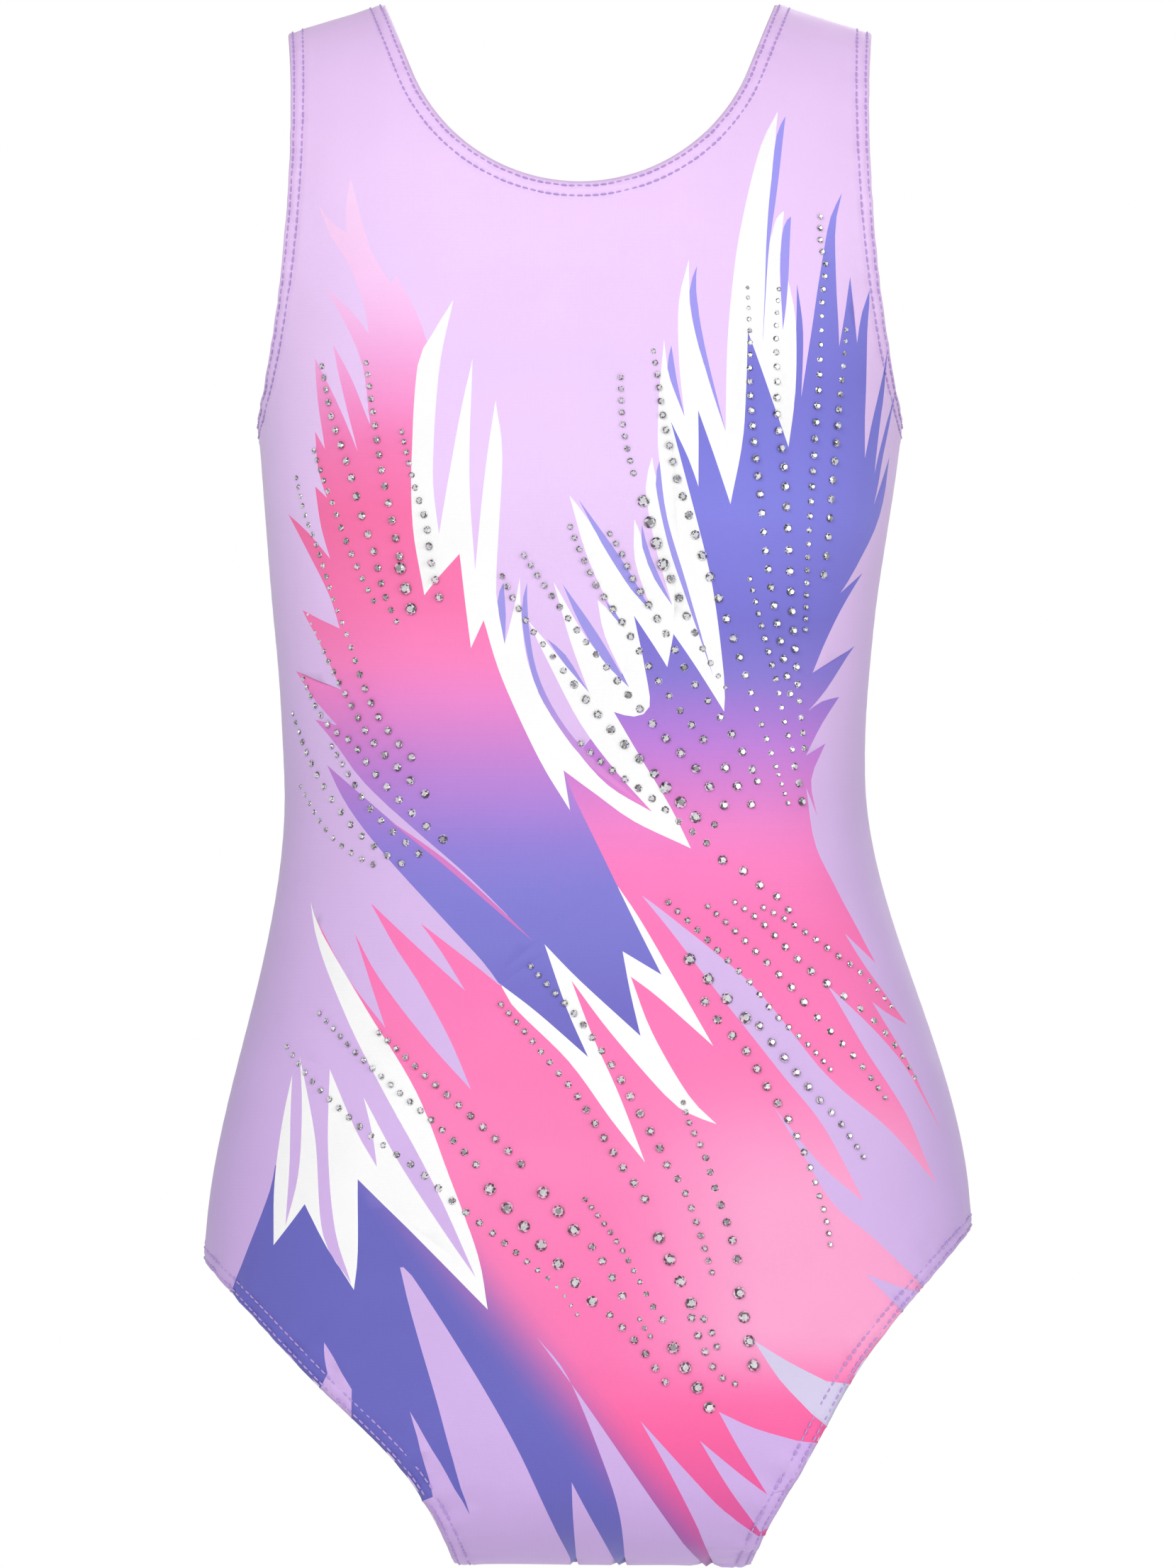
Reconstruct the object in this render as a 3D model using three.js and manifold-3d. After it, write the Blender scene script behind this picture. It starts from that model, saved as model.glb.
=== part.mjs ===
// A child's sleeveless gymnastics leotard, standing open as it does when it is worn.
// Millimetres. +Z is up, the front faces -Y, and +X is the left hand side of a wearer, the right of
// the picture for somebody who faces the leotard. The origin lies midway between the two shoulder
// seams, level with their neck ends.
//
// The cloth follows a smooth form. The form is a stack of rings, each with a half width, a front
// depth and a back depth. It closes to a ridge at the shoulders and again at the crotch.
import * as THREE from "three";
import Module from "manifold-3d";

const wasm = await Module();
wasm.setup();

// Lengths down the body, from the shoulder ridge to the crotch.
const shoulderToArmpit = 156;
const armpitToWaist = 133;
const waistToHip = 172.5;
const hipToCrotch = 118;

// Half widths of the form.
const shoulderHalfWidth = 127;
const armpitHalfWidth = 119.8;
const waistHalfWidth = 108;
const hipHalfWidth = 142.4;

// Front and back depths of the form, measured from the side seams.
const chestDepth = 72;
const waistDepth = 66;
const bellyDepth = 74;
const upperBackDepth = 66;
const lumbarDepth = 58;
const seatDepth = 90;

// How square each half of a ring is: 2 is an ellipse, more is squarer.
const frontSquareness = 2.5;
const backSquareness = 2.3;
const shoulderRound = 120; // height over which the straps bend back to the shoulder seam
const shoulderSlope = 0.31; // fall of the shoulder seam for each millimetre away from the neck
const crotchRound = 75; // height over which the cloth turns under
const crotchSquareness = 3;

// The openings, as seen from the front and from the back.
const neckHalfWidth = 72.5; // at the shoulder seam
const neckRadius = 67; // of the round bottom of the neckline
const frontNeckDepth = 68.2;
const backNeckDepth = 88;
const strapWidth = 36;
const armholeHollow = 2.5; // how far the armhole cuts in below the shoulder seam
const backArmholeHollow = 6;
const crotchHalfWidth = 54.8;
const legLineAtHip = [46.6, 48.5]; // handle of the leg line: inwards and down from the hip
const legLineAtCrotch = [9.2, 30.4]; // handle of the leg line: outwards and up from the crotch

// Cloth and trims. Depths are measured inwards from the outer face of the cloth.
const cloth = 0.8;
const gap = 0.3; // between pieces that touch
const hemWidth = 8.4; // how far the turned-in cloth reaches from the fold
const elasticWidth = 6;
const elasticThickness = 0.6;
const elasticBedding = 0.2; // by which the elastic lies looser than other pieces
const threadWidth = 0.6;
const threadThickness = 0.4;
const outerNeedleRow = 1.8; // from the fold
const needleGauge = 3.8; // between the two rows of stitching
const seamWidth = 6;
const seamThickness = 1.1;
const liningThickness = 0.6;
const liningHeight = 60; // above the crotch, at the front and at the back
const trimClearance = 1.6; // between the end of one trim and the side of the next

// The largest rhinestones, in runs from one place [x, z] to another, as seen from the front.
const stoneDiameter = 4.6;
const stoneHeight = 1.9;
const stoneTable = 0.5; // width of the flat top, as a share of the diameter
const stoneRuns = [
  { from: [23.3, -186], to: [30.5, -209.2], count: 4 },
  { from: [-66, -210.5], to: [-62, -225.5], count: 3 },
  { from: [31.5, -291.3], to: [42.5, -302.2], count: 3 },
  { from: [40.3, -354.5], to: [60.8, -376], count: 4 },
  { from: [-33, -438.8], to: [4.5, -480], count: 7 },
  { from: [-13.5, -440], to: [-2.2, -453.8], count: 3 },
  { from: [29, -456.6], to: [40.8, -480.7], count: 4 },
  { from: [34.3, -497], to: [47.5, -519], count: 4 },
  { from: [58.5, -477], to: [63.8, -503.5], count: 4 },
];

// Levels, which are heights of the row frame.
const armpitZ = -shoulderToArmpit;
const waistZ = armpitZ - armpitToWaist;
const hipZ = waistZ - waistToHip;
const crotchZ = hipZ - hipToCrotch;
const strapOuter = neckHalfWidth + strapWidth;

// The leotard sways a little, as it stands on its form. At each height: the shift of the middle
// line to +X, and the rise of the cloth for each millimetre to +X.
const sway = [
  { z: armpitZ, lean: 0, tilt: 0 },
  { z: waistZ + 55, lean: -2.2, tilt: 0 },
  { z: waistZ, lean: -1.9, tilt: 0 },
  { z: waistZ - 95, lean: 2.6, tilt: 0.015 },
  { z: hipZ, lean: 3, tilt: 0.043 },
  { z: crotchZ + 75, lean: 3.6, tilt: 0.042 },
  { z: crotchZ + 32, lean: 9, tilt: 0.01 },
  { z: crotchZ, lean: 8.5, tilt: 0 },
];

// Fineness of the faceted model.
const ringQuarter = 10; // quads from a side seam to the middle of the front
const capRows = 7;
const bodyRows = 15;
const crotchRows = 6;
const trimStep = 9;
const outlineStep = 7;

const ringCount = 4 * ringQuarter;
const rowCount = capRows + bodyRows + crotchRows;

// A smooth curve through stations [height, value], listed downwards. It is level at each station
// that is higher or lower than both of its neighbours, and at both ends.
function smoothThrough(stations) {
  const slopes = stations.map(([z, value], i) => {
    const before = stations[i - 1];
    const after = stations[i + 1];
    if (!before || !after || (value - before[1]) * (after[1] - value) <= 0) return 0;
    return (after[1] - before[1]) / (after[0] - before[0]);
  });
  return (z) => {
    if (z >= stations[0][0]) return stations[0][1];
    const i = stations.findIndex((station, n) => n > 0 && z >= station[0]);
    if (i < 0) return stations[stations.length - 1][1];
    const [z0, v0] = stations[i - 1];
    const [z1, v1] = stations[i];
    const length = z1 - z0;
    const t = (z - z0) / length;
    const blend = t * t * (3 - 2 * t);
    const leaving = slopes[i - 1] * length * t * (1 - t) * (1 - t);
    const arriving = slopes[i] * length * t * t * (1 - t);
    return v0 + (v1 - v0) * blend + leaving - arriving;
  };
}

const halfWidthAt = smoothThrough([
  [0, shoulderHalfWidth],
  [armpitZ / 2, shoulderHalfWidth],
  [armpitZ, armpitHalfWidth],
  [waistZ, waistHalfWidth],
  [hipZ, hipHalfWidth],
  [crotchZ, hipHalfWidth],
]);
const frontDepthAt = smoothThrough([
  [armpitZ, chestDepth],
  [waistZ, waistDepth],
  [hipZ, bellyDepth],
]);
const backDepthAt = smoothThrough([
  [armpitZ, upperBackDepth],
  [waistZ, lumbarDepth],
  [hipZ, seatDepth],
]);

// Heights and depth shares of the rows, from the shoulder ridge to the crotch ridge.
function formRows() {
  const rows = [];
  const capEnd = -shoulderRound;
  const crotchStart = crotchZ + crotchRound;
  for (let i = 0; i < capRows; i++) {
    const angle = ((i / capRows) * Math.PI) / 2;
    rows.push({ z: capEnd + shoulderRound * Math.cos(angle), share: Math.sin(angle) });
  }
  for (let i = 0; i < bodyRows; i++) {
    rows.push({ z: capEnd + ((crotchStart - capEnd) * i) / bodyRows, share: 1 });
  }
  const power = 2 / crotchSquareness;
  for (let i = 0; i <= crotchRows; i++) {
    const angle = ((i / crotchRows) * Math.PI) / 2;
    const share = i === crotchRows ? 0 : Math.cos(angle) ** power;
    rows.push({ z: crotchStart - crotchRound * Math.sin(angle) ** power, share });
  }
  return rows;
}
const rows = formRows();

// A point of the form. Around runs from 0 at the -X side seam through 1 at the middle of the front
// and 2 at the +X side seam to 3 at the middle of the back. Row is a whole number.
function formPoint(around, row) {
  const { z, share } = rows[row];
  const front = around <= 2;
  const across = front ? around - 1 : 3 - around;
  const sideways = Math.sin((across * Math.PI) / 2);
  const squareness = front ? frontSquareness : backSquareness;
  const depth = (front ? frontDepthAt(z) : backDepthAt(z)) * share;
  const inward = Math.max(0, 1 - Math.abs(sideways) ** squareness) ** (1 / squareness);
  const x = halfWidthAt(z) * sideways;
  const nearTop = THREE.MathUtils.smoothstep(z, -shoulderRound, 0);
  const fall = shoulderSlope * Math.max(0, Math.abs(x) - neckHalfWidth) * nearTop;
  return new THREE.Vector3(x, front ? -depth * inward : depth * inward, z - fall);
}

// The form as a closed mesh. The ridges are single lines that the front and the back share.
function formVertex(ring, row) {
  const turn = (ring + ringCount) % ringCount;
  const ridge = row === 0 || row === rowCount;
  const shared = ridge && turn > ringCount / 2 ? ringCount - turn : turn;
  return row * ringCount + shared;
}

function makeForm() {
  const places = [];
  for (let row = 0; row <= rowCount; row++) {
    for (let ring = 0; ring < ringCount; ring++) {
      places.push(...formPoint((4 * ring) / ringCount, row).toArray());
    }
  }
  const faces = [];
  for (let row = 0; row < rowCount; row++) {
    for (let ring = 0; ring < ringCount; ring++) {
      const a = formVertex(ring, row);
      const b = formVertex(ring + 1, row);
      const c = formVertex(ring + 1, row + 1);
      const d = formVertex(ring, row + 1);
      if (a !== b) faces.push(a, d, b);
      if (c !== d) faces.push(b, d, c);
    }
  }
  const geometry = new THREE.BufferGeometry();
  geometry.setAttribute("position", new THREE.Float32BufferAttribute(places, 3));
  geometry.setIndex(faces);
  geometry.computeVertexNormals();
  return geometry;
}
const form = makeForm();

// A place on the faceted form, with its outward normal, from fractional ring and row numbers.
function onForm(ring, row) {
  const lowRing = Math.floor(ring);
  const lowRow = Math.min(Math.max(Math.floor(row), 0), rowCount - 1);
  const u = ring - lowRing;
  const v = Math.min(Math.max(row - lowRow, 0), 1);
  const place = new THREE.Vector3();
  const normal = new THREE.Vector3();
  const corners = [
    [0, 0, (1 - u) * (1 - v)],
    [1, 0, u * (1 - v)],
    [0, 1, (1 - u) * v],
    [1, 1, u * v],
  ];
  for (const [stepRing, stepRow, weight] of corners) {
    const vertex = formVertex(lowRing + stepRing, lowRow + stepRow);
    const corner = new THREE.Vector3();
    place.addScaledVector(corner.fromBufferAttribute(form.attributes.position, vertex), weight);
    normal.addScaledVector(corner.fromBufferAttribute(form.attributes.normal, vertex), weight);
  }
  return { place, normal: normal.normalize() };
}

// Beyond a ridge the rows run on down, or up, the other face.
function pastRidge({ ring, row }) {
  if (row < 0) return { ring: ringCount - ring, row: -row };
  if (row > rowCount) return { ring: ringCount - ring, row: 2 * rowCount - row };
  return { ring, row };
}

// The ring and row numbers a small step away from a place, found from the slopes of the form.
function stepOnForm(at, move) {
  const h = at.row > rowCount - 1 ? -0.02 : 0.02;
  const here = onForm(at.ring, at.row).place;
  const alongRing = onForm(at.ring + h, at.row).place.sub(here).divideScalar(h);
  const alongRow = onForm(at.ring, at.row + h).place.sub(here).divideScalar(h);
  const a = alongRing.dot(alongRing);
  const b = alongRing.dot(alongRow);
  const c = alongRow.dot(alongRow);
  const p = alongRing.dot(move);
  const q = alongRow.dot(move);
  const scale = a * c - b * b;
  return pastRidge({
    ring: at.ring + (c * p - b * q) / scale,
    row: at.row + (a * q - b * p) / scale,
  });
}

// The ring and row numbers of the place that shows at [x, z] from the front or from the back.
function findOnForm(x, z, front) {
  const middle = (front ? 1 : 3) * ringQuarter;
  let row = rowCount / 2;
  let ring = middle;
  for (let i = 0; i < 40; i++) {
    const { place } = onForm(ring, row);
    const lower = onForm(ring, row + (row > rowCount - 1 ? -0.01 : 0.01)).place;
    const dropPerRow = (lower.z - place.z) / (row > rowCount - 1 ? -0.01 : 0.01);
    row = THREE.MathUtils.clamp(row + (0.7 * (z - place.z)) / Math.min(dropPerRow, -0.5), 0, rowCount);
    const halfWidth = Math.abs(onForm(2 * ringQuarter, row).place.x);
    const across = (2 / Math.PI) * Math.asin(THREE.MathUtils.clamp(x / halfWidth, -1, 1));
    const wanted = front ? (1 + across) * ringQuarter : (3 - across) * ringQuarter;
    const error = x - onForm(wanted, row).place.x;
    const perRing = (onForm(wanted + 0.05, row).place.x - onForm(wanted - 0.05, row).place.x) / 0.1;
    const mend = Math.abs(perRing) > 0.5 ? error / perRing : 0;
    ring = THREE.MathUtils.clamp(wanted + mend, front ? 0 : 2 * ringQuarter, (front ? 2 : 4) * ringQuarter);
  }
  return { ring, row };
}

// Outlines, as points [x, z] of the +X half. Each runs away from the shoulder seam.
function necklineOf(depth) {
  const centre = neckRadius - depth;
  const outer = Math.hypot(neckHalfWidth, centre);
  const angle = Math.atan2(-centre, neckHalfWidth) - Math.acos(neckRadius / outer);
  const curve = new THREE.Path();
  curve.moveTo(neckHalfWidth, 0);
  curve.lineTo(neckRadius * Math.cos(angle), centre + neckRadius * Math.sin(angle));
  curve.absarc(0, centre, neckRadius, angle, -Math.PI / 2, true);
  return curve;
}

function armholeOf(hollow) {
  const top = -shoulderSlope * strapWidth;
  const curve = new THREE.Path();
  curve.moveTo(strapOuter, top);
  curve.bezierCurveTo(
    strapOuter - hollow, top * 3.2,
    strapOuter - hollow, armpitZ * 0.6,
    armpitHalfWidth, armpitZ,
  );
  return curve;
}

function legLine() {
  const [hipIn, hipDown] = legLineAtHip;
  const [crotchOut, crotchUp] = legLineAtCrotch;
  const curve = new THREE.Path();
  curve.moveTo(hipHalfWidth, hipZ);
  curve.bezierCurveTo(
    hipHalfWidth - hipIn, hipZ - hipDown,
    crotchHalfWidth + crotchOut, crotchZ + crotchUp,
    crotchHalfWidth, crotchZ,
  );
  return curve;
}

const outlines = {
  front: { neck: necklineOf(frontNeckDepth), armhole: armholeOf(armholeHollow), leg: legLine() },
  back: { neck: necklineOf(backNeckDepth), armhole: armholeOf(backArmholeHollow), leg: legLine() },
};

function pointsAlong(curve, step) {
  return curve.getSpacedPoints(Math.max(6, Math.round(curve.getLength() / step)));
}

// Half of a panel's outline, from the middle of the neckline to the middle of the crotch. It runs
// past the form at the shoulder, the side and the crotch, where a seam and not a cut ends it.
function panelOutline(side) {
  const beyond = 60;
  const half = [
    ...pointsAlong(side.neck, outlineStep).reverse(),
    new THREE.Vector2(neckHalfWidth, beyond),
    new THREE.Vector2(strapOuter, beyond),
    ...pointsAlong(side.armhole, outlineStep),
    new THREE.Vector2(armpitHalfWidth + beyond, armpitZ),
    new THREE.Vector2(hipHalfWidth + beyond, hipZ),
    ...pointsAlong(side.leg, outlineStep),
    new THREE.Vector2(crotchHalfWidth, crotchZ - beyond),
  ];
  return mirroredShape(half);
}

function mirroredShape(half) {
  const mirrored = half.map((p) => new THREE.Vector2(-p.x, p.y)).reverse();
  const whole = [...half, ...mirrored];
  return new THREE.Shape(whole.filter((p, i) => p.distanceTo(whole.at(i - 1)) > 0.01));
}

function toManifold(geometry) {
  const indexed = geometry.index.array;
  return new wasm.Manifold(
    new wasm.Mesh({
      numProp: 3,
      vertProperties: new Float32Array(geometry.attributes.position.array),
      triVerts: new Uint32Array(indexed),
    }),
  );
}

// The form, shrunk by a depth below the outer face of the cloth.
function formSolid(depth) {
  const geometry = form.clone();
  const { position, normal } = geometry.attributes;
  for (let i = 0; i < position.count; i++) {
    position.setXYZ(
      i,
      position.getX(i) - depth * normal.getX(i),
      position.getY(i) - depth * normal.getY(i),
      position.getZ(i) - depth * normal.getZ(i),
    );
  }
  return toManifold(geometry);
}

// A straight prism of an outline, which is seen from the front, between two places along Y.
function prism(shape, fromY, toY) {
  const flat = new THREE.ExtrudeGeometry(shape, { depth: toY - fromY, bevelEnabled: false });
  flat.rotateX(Math.PI / 2);
  flat.translate(0, toY, 0);
  const places = flat.attributes.position;
  const seen = new Map();
  const kept = [];
  const faces = [];
  for (let i = 0; i < places.count; i++) {
    const key = [places.getX(i), places.getY(i), places.getZ(i)].map((v) => v.toFixed(4)).join();
    if (!seen.has(key)) {
      seen.set(key, kept.length / 3);
      kept.push(places.getX(i), places.getY(i), places.getZ(i));
    }
    faces.push(seen.get(key));
  }
  const merged = new THREE.BufferGeometry();
  merged.setAttribute("position", new THREE.Float32BufferAttribute(kept, 3));
  merged.setIndex(faces);
  return toManifold(merged);
}

function toGeometry(solid) {
  const bodies = solid.decompose();
  const whole = bodies.reduce((a, b) => (a.volume() > b.volume() ? a : b));
  const mesh = whole.getMesh();
  const geometry = new THREE.BufferGeometry();
  geometry.setAttribute("position", new THREE.BufferAttribute(mesh.vertProperties, 3));
  geometry.setIndex(new THREE.BufferAttribute(mesh.triVerts, 1));
  return geometry;
}

const leanAt = smoothThrough(sway.map(({ z, lean }) => [z, lean]));
const tiltAt = smoothThrough(sway.map(({ z, tilt }) => [z, tilt]));

function swayed(geometry) {
  const places = geometry.attributes.position;
  for (let i = 0; i < places.count; i++) {
    const [x, y, z] = [places.getX(i), places.getY(i), places.getZ(i)];
    places.setXYZ(i, x + leanAt(z), y, z + tiltAt(z) * x);
  }
  return geometry;
}

// The place that sways to [x, z].
function unswayed(x, z) {
  let [restX, restZ] = [x, z];
  for (let i = 0; i < 5; i++) {
    restX = x - leanAt(restZ);
    restZ = z - tiltAt(restZ) * restX;
  }
  return [restX, restZ];
}

function material(color, roughness, metalness) {
  return new THREE.MeshStandardMaterial({ color, roughness, metalness });
}

const leotard = new THREE.Group();
leotard.name = "gymnastics_leotard";

function addPiece(name, geometry, color, roughness, metalness = 0) {
  const piece = new THREE.Mesh(swayed(geometry), material(color, roughness, metalness));
  piece.name = name;
  leotard.add(piece);
}

// A closed loop of places around an opening. Each stretch is a half of an outline, on the front or
// the back. A place where two stretches meet, on a seam or in the middle, is always kept.
function loopOf(stretches) {
  return stretches.flatMap(({ curve, front, side, backwards }) => {
    const points = curve.getSpacedPoints(160);
    if (backwards) points.reverse();
    return points.slice(0, -1).map((p, i) => ({
      ...findOnForm(side * p.x, p.y, front),
      keep: i === 0,
    }));
  });
}

const neckLoop = loopOf([
  { curve: outlines.front.neck, front: true, side: 1, backwards: false },
  { curve: outlines.front.neck, front: true, side: -1, backwards: true },
  { curve: outlines.back.neck, front: false, side: -1, backwards: false },
  { curve: outlines.back.neck, front: false, side: 1, backwards: true },
]);
function sideLoop(name, side) {
  return loopOf([
    { curve: outlines.front[name], front: true, side, backwards: false },
    { curve: outlines.back[name], front: false, side, backwards: true },
  ]);
}

// The frame at each place of a path: where it is, and the direction into the cloth.
function framesOf(path, closed) {
  const spots = path.map((at) => onForm(at.ring, at.row));
  const middle = new THREE.Vector3();
  for (const { place } of spots) middle.addScaledVector(place, 1 / spots.length);
  const last = path.length - 1;
  const frames = path.map((at, i) => {
    const before = spots[i > 0 ? i - 1 : closed ? last : i].place;
    const after = spots[i < last ? i + 1 : closed ? 0 : i].place;
    const inward = after.clone().sub(before).cross(spots[i].normal).normalize();
    return { at, place: spots[i].place, inward };
  });
  const outwards = frames.map(({ place, inward }) => inward.dot(place.clone().sub(middle)));
  const sense = Math.sign(outwards.reduce((sum, share) => sum + share, 0)) || 1;
  for (const { inward } of frames) inward.multiplyScalar(sense);
  return frames;
}

// A loop that runs a distance in from another one.
function loopInside(loop, distance) {
  return framesOf(loop, true).map(({ at, inward }) => ({
    ...stepOnForm(at, inward.multiplyScalar(distance)),
    keep: at.keep,
  }));
}

// Thins a loop of close places. It keeps a place wherever the loop crosses a fold between facets,
// so that a trim never cuts a corner.
function thinned(loop) {
  const kept = [];
  let travelled = 0;
  loop.forEach((at, i) => {
    const before = loop.at(i - 1);
    const place = onForm(at.ring, at.row).place;
    travelled += place.distanceTo(onForm(before.ring, before.row).place);
    const crosses = ["ring", "row"].find((key) => {
      const change = Math.abs(at[key] - before[key]);
      return change < 1 && Math.floor(at[key] - 1e-6) !== Math.floor(before[key] - 1e-6);
    });
    if (crosses && !at.keep && !before.keep) {
      const line = Math.max(Math.floor(at[crosses]), Math.floor(before[crosses]));
      const t = (line - before[crosses]) / (at[crosses] - before[crosses]);
      kept.push({
        ring: THREE.MathUtils.lerp(before.ring, at.ring, t),
        row: THREE.MathUtils.lerp(before.row, at.row, t),
      });
      travelled = 0;
    } else if (at.keep || travelled > trimStep) {
      kept.push(at);
      travelled = 0;
    }
  });
  return kept.filter((at, i) => {
    const next = kept[(i + 1) % kept.length];
    const space = onForm(at.ring, at.row).place.distanceTo(onForm(next.ring, next.row).place);
    return at.keep || space > trimStep / 10;
  });
}

// A trim that follows a path. The section is a list of corners [distance in from the path, depth].
function trimAlong(path, section, closed = true) {
  const places = [];
  const faces = [];
  const corners = section.length;
  for (const { at, inward } of framesOf(path, closed)) {
    for (const [distance, depth] of section) {
      const moved = stepOnForm(at, inward.clone().multiplyScalar(distance));
      const { place, normal } = onForm(moved.ring, moved.row);
      places.push(...place.addScaledVector(normal, -depth).toArray());
    }
  }
  const count = path.length;
  for (let i = 0; i < (closed ? count : count - 1); i++) {
    const here = i * corners;
    const next = ((i + 1) % count) * corners;
    for (let k = 0; k < corners; k++) {
      const k2 = (k + 1) % corners;
      faces.push(here + k, next + k, here + k2, here + k2, next + k, next + k2);
    }
  }
  const end = (count - 1) * corners;
  for (let k = 1; k < corners - 1 && !closed; k++) {
    faces.push(0, k, k + 1, end, end + k + 1, end + k);
  }
  const geometry = new THREE.BufferGeometry();
  geometry.setAttribute("position", new THREE.Float32BufferAttribute(places, 3));
  geometry.setIndex(faces);
  if (toManifold(geometry).volume() < 0) geometry.setIndex(faces.reverse());
  return geometry;
}

// Openings, with the turned-in hem, the elastic inside it and two rows of stitching.
const openings = {
  neck: neckLoop,
  left_armhole: sideLoop("armhole", 1),
  right_armhole: sideLoop("armhole", -1),
  left_leg: sideLoop("leg", 1),
  right_leg: sideLoop("leg", -1),
};
const elasticTop = cloth + gap + elasticBedding;
const elasticBottom = elasticTop + elasticThickness;
const hemTop = elasticBottom + gap + elasticBedding;
const hemBottom = hemTop + cloth;

let hems = null;
for (const [name, loop] of Object.entries(openings)) {
  const middle = hemWidth / 2;
  const hemPath = thinned(loopInside(loop, middle));
  const hem = toManifold(
    trimAlong(hemPath, [
      [-middle, cloth / 2],
      [-middle, hemBottom],
      [middle, hemBottom],
      [middle, hemTop],
      [cloth - middle, hemTop],
      [cloth - middle, cloth / 2],
    ]),
  );
  hems = hems ? hems.add(hem) : hem;

  const start = cloth + gap - middle;
  const elastic = trimAlong(hemPath, [
    [start, elasticTop],
    [start, elasticBottom],
    [start + elasticWidth, elasticBottom],
    [start + elasticWidth, elasticTop],
  ]);
  addPiece(`${name}_elastic`, elastic, 0xf4f2ee, 0.7);

  for (const [row, distance] of [
    ["outer", outerNeedleRow],
    ["inner", outerNeedleRow + needleGauge],
  ]) {
    const thread = trimAlong(thinned(loopInside(loop, distance)), [
      [-threadWidth / 2, -gap],
      [threadWidth / 2, -gap],
      [0, -gap - threadThickness],
    ]);
    addPiece(`${name}_stitching_${row}`, thread, 0xc6a3e8, 0.6);
  }
}

// Front and back panels. They meet at the shoulders, the sides and the crotch.
const clothShell = formSolid(0).subtract(formSolid(cloth));
const reach = 2 * seatDepth;
const frontCloth = clothShell.intersect(prism(panelOutline(outlines.front), -reach, -gap / 2));
const backCloth = clothShell.intersect(prism(panelOutline(outlines.back), gap / 2, reach));
const frontHems = hems.trimByPlane([0, -1, 0], gap / 2);
const backHems = hems.trimByPlane([0, 1, 0], gap / 2);
addPiece("front_panel", toGeometry(frontCloth.add(frontHems)), 0xd6b4f0, 0.55);
addPiece("back_panel", toGeometry(backCloth.add(backHems)), 0xd6b4f0, 0.55);

// The overlocked seams inside: straight runs along the sides and along the two ridges.
const seamTop = cloth + gap;

function seamPath(from, to) {
  const [low, high] = from < to ? [from, to] : [to, from];
  const lines = [low];
  for (let line = Math.floor(low) + 1; line < high; line++) lines.push(line);
  return [...lines, high];
}

function addSeam(name, path) {
  const half = seamWidth / 2;
  const section = [
    [-half, seamTop],
    [-half, seamTop + seamThickness],
    [half, seamTop + seamThickness],
    [half, seamTop],
  ];
  addPiece(name, trimAlong(path, section, false), 0xb79be0, 0.7);
}

const hemEnd = hemWidth + trimClearance;
for (const [name, side] of [["left", 1], ["right", -1]]) {
  const sideRing = (side > 0 ? 2 : 0) * ringQuarter;
  const top = findOnForm(side * armpitHalfWidth, armpitZ - hemEnd, true).row;
  const bottom = findOnForm(side * hipHalfWidth, hipZ + hemEnd, true).row;
  addSeam(`${name}_side_seam`, seamPath(top, bottom).map((row) => ({ ring: sideRing, row })));

  const neckEnd = findOnForm(side * (neckHalfWidth + hemEnd), 0, true).ring;
  const armEnd = findOnForm(side * (strapOuter - hemEnd), 0, true).ring;
  addSeam(`${name}_shoulder_seam`, seamPath(neckEnd, armEnd).map((ring) => ({ ring, row: 0 })));
}
const crotchEnd = findOnForm(crotchHalfWidth - hemEnd, crotchZ, true).ring;
const crotchPath = seamPath(2 * ringQuarter - crotchEnd, crotchEnd);
addSeam("crotch_seam", crotchPath.map((ring) => ({ ring, row: rowCount })));

// The lining of the crotch, which covers the seam and lies between the two leg hems.
function liningOutline() {
  const top = crotchZ + liningHeight;
  const edge = outlines.front.leg;
  const points = edge.getSpacedPoints(60).map((p, i) => {
    const along = edge.getTangentAt(i / 60);
    return new THREE.Vector2(p.x + along.y * hemEnd, p.y - along.x * hemEnd);
  });
  const inside = points.filter((p) => p.y < top && p.y > crotchZ);
  const last = inside[inside.length - 1];
  return mirroredShape([
    new THREE.Vector2(inside[0].x, top),
    ...inside.filter((p, i) => i % 6 === 3),
    last,
    new THREE.Vector2(last.x, crotchZ - reach),
  ]);
}
const liningTop = seamTop + seamThickness + gap;
const liningShell = formSolid(liningTop).subtract(formSolid(liningTop + liningThickness));
const lining = liningShell.intersect(prism(liningOutline(), -reach, reach));
addPiece("crotch_lining", toGeometry(lining), 0xf3ecf5, 0.8);

// Rhinestones: each one is a low faceted cone with a flat top and a flat back.
const up = new THREE.Vector3(0, 1, 0);
let stoneNumber = 0;
for (const { from, to, count } of stoneRuns) {
  for (let i = 0; i < count; i++) {
    const t = i / (count - 1);
    const x = THREE.MathUtils.lerp(from[0], to[0], t);
    const z = THREE.MathUtils.lerp(from[1], to[1], t);
    const spot = findOnForm(...unswayed(x, z), true);
    const { place, normal } = onForm(spot.ring, spot.row);
    const radius = stoneDiameter / 2;
    const stone = new THREE.CylinderGeometry(radius * stoneTable, radius, stoneHeight, 8);
    stone.applyQuaternion(new THREE.Quaternion().setFromUnitVectors(up, normal));
    stone.translate(...place.addScaledVector(normal, gap + stoneHeight / 2).toArray());
    stoneNumber += 1;
    addPiece(`rhinestone_${String(stoneNumber).padStart(2, "0")}`, stone, 0xdfe3ea, 0.08, 0.6);
  }
}

export default leotard;
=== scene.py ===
import math
import random

import bpy
import numpy as np
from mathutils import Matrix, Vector, kdtree, noise
from mathutils.geometry import delaunay_2d_cdt


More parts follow.
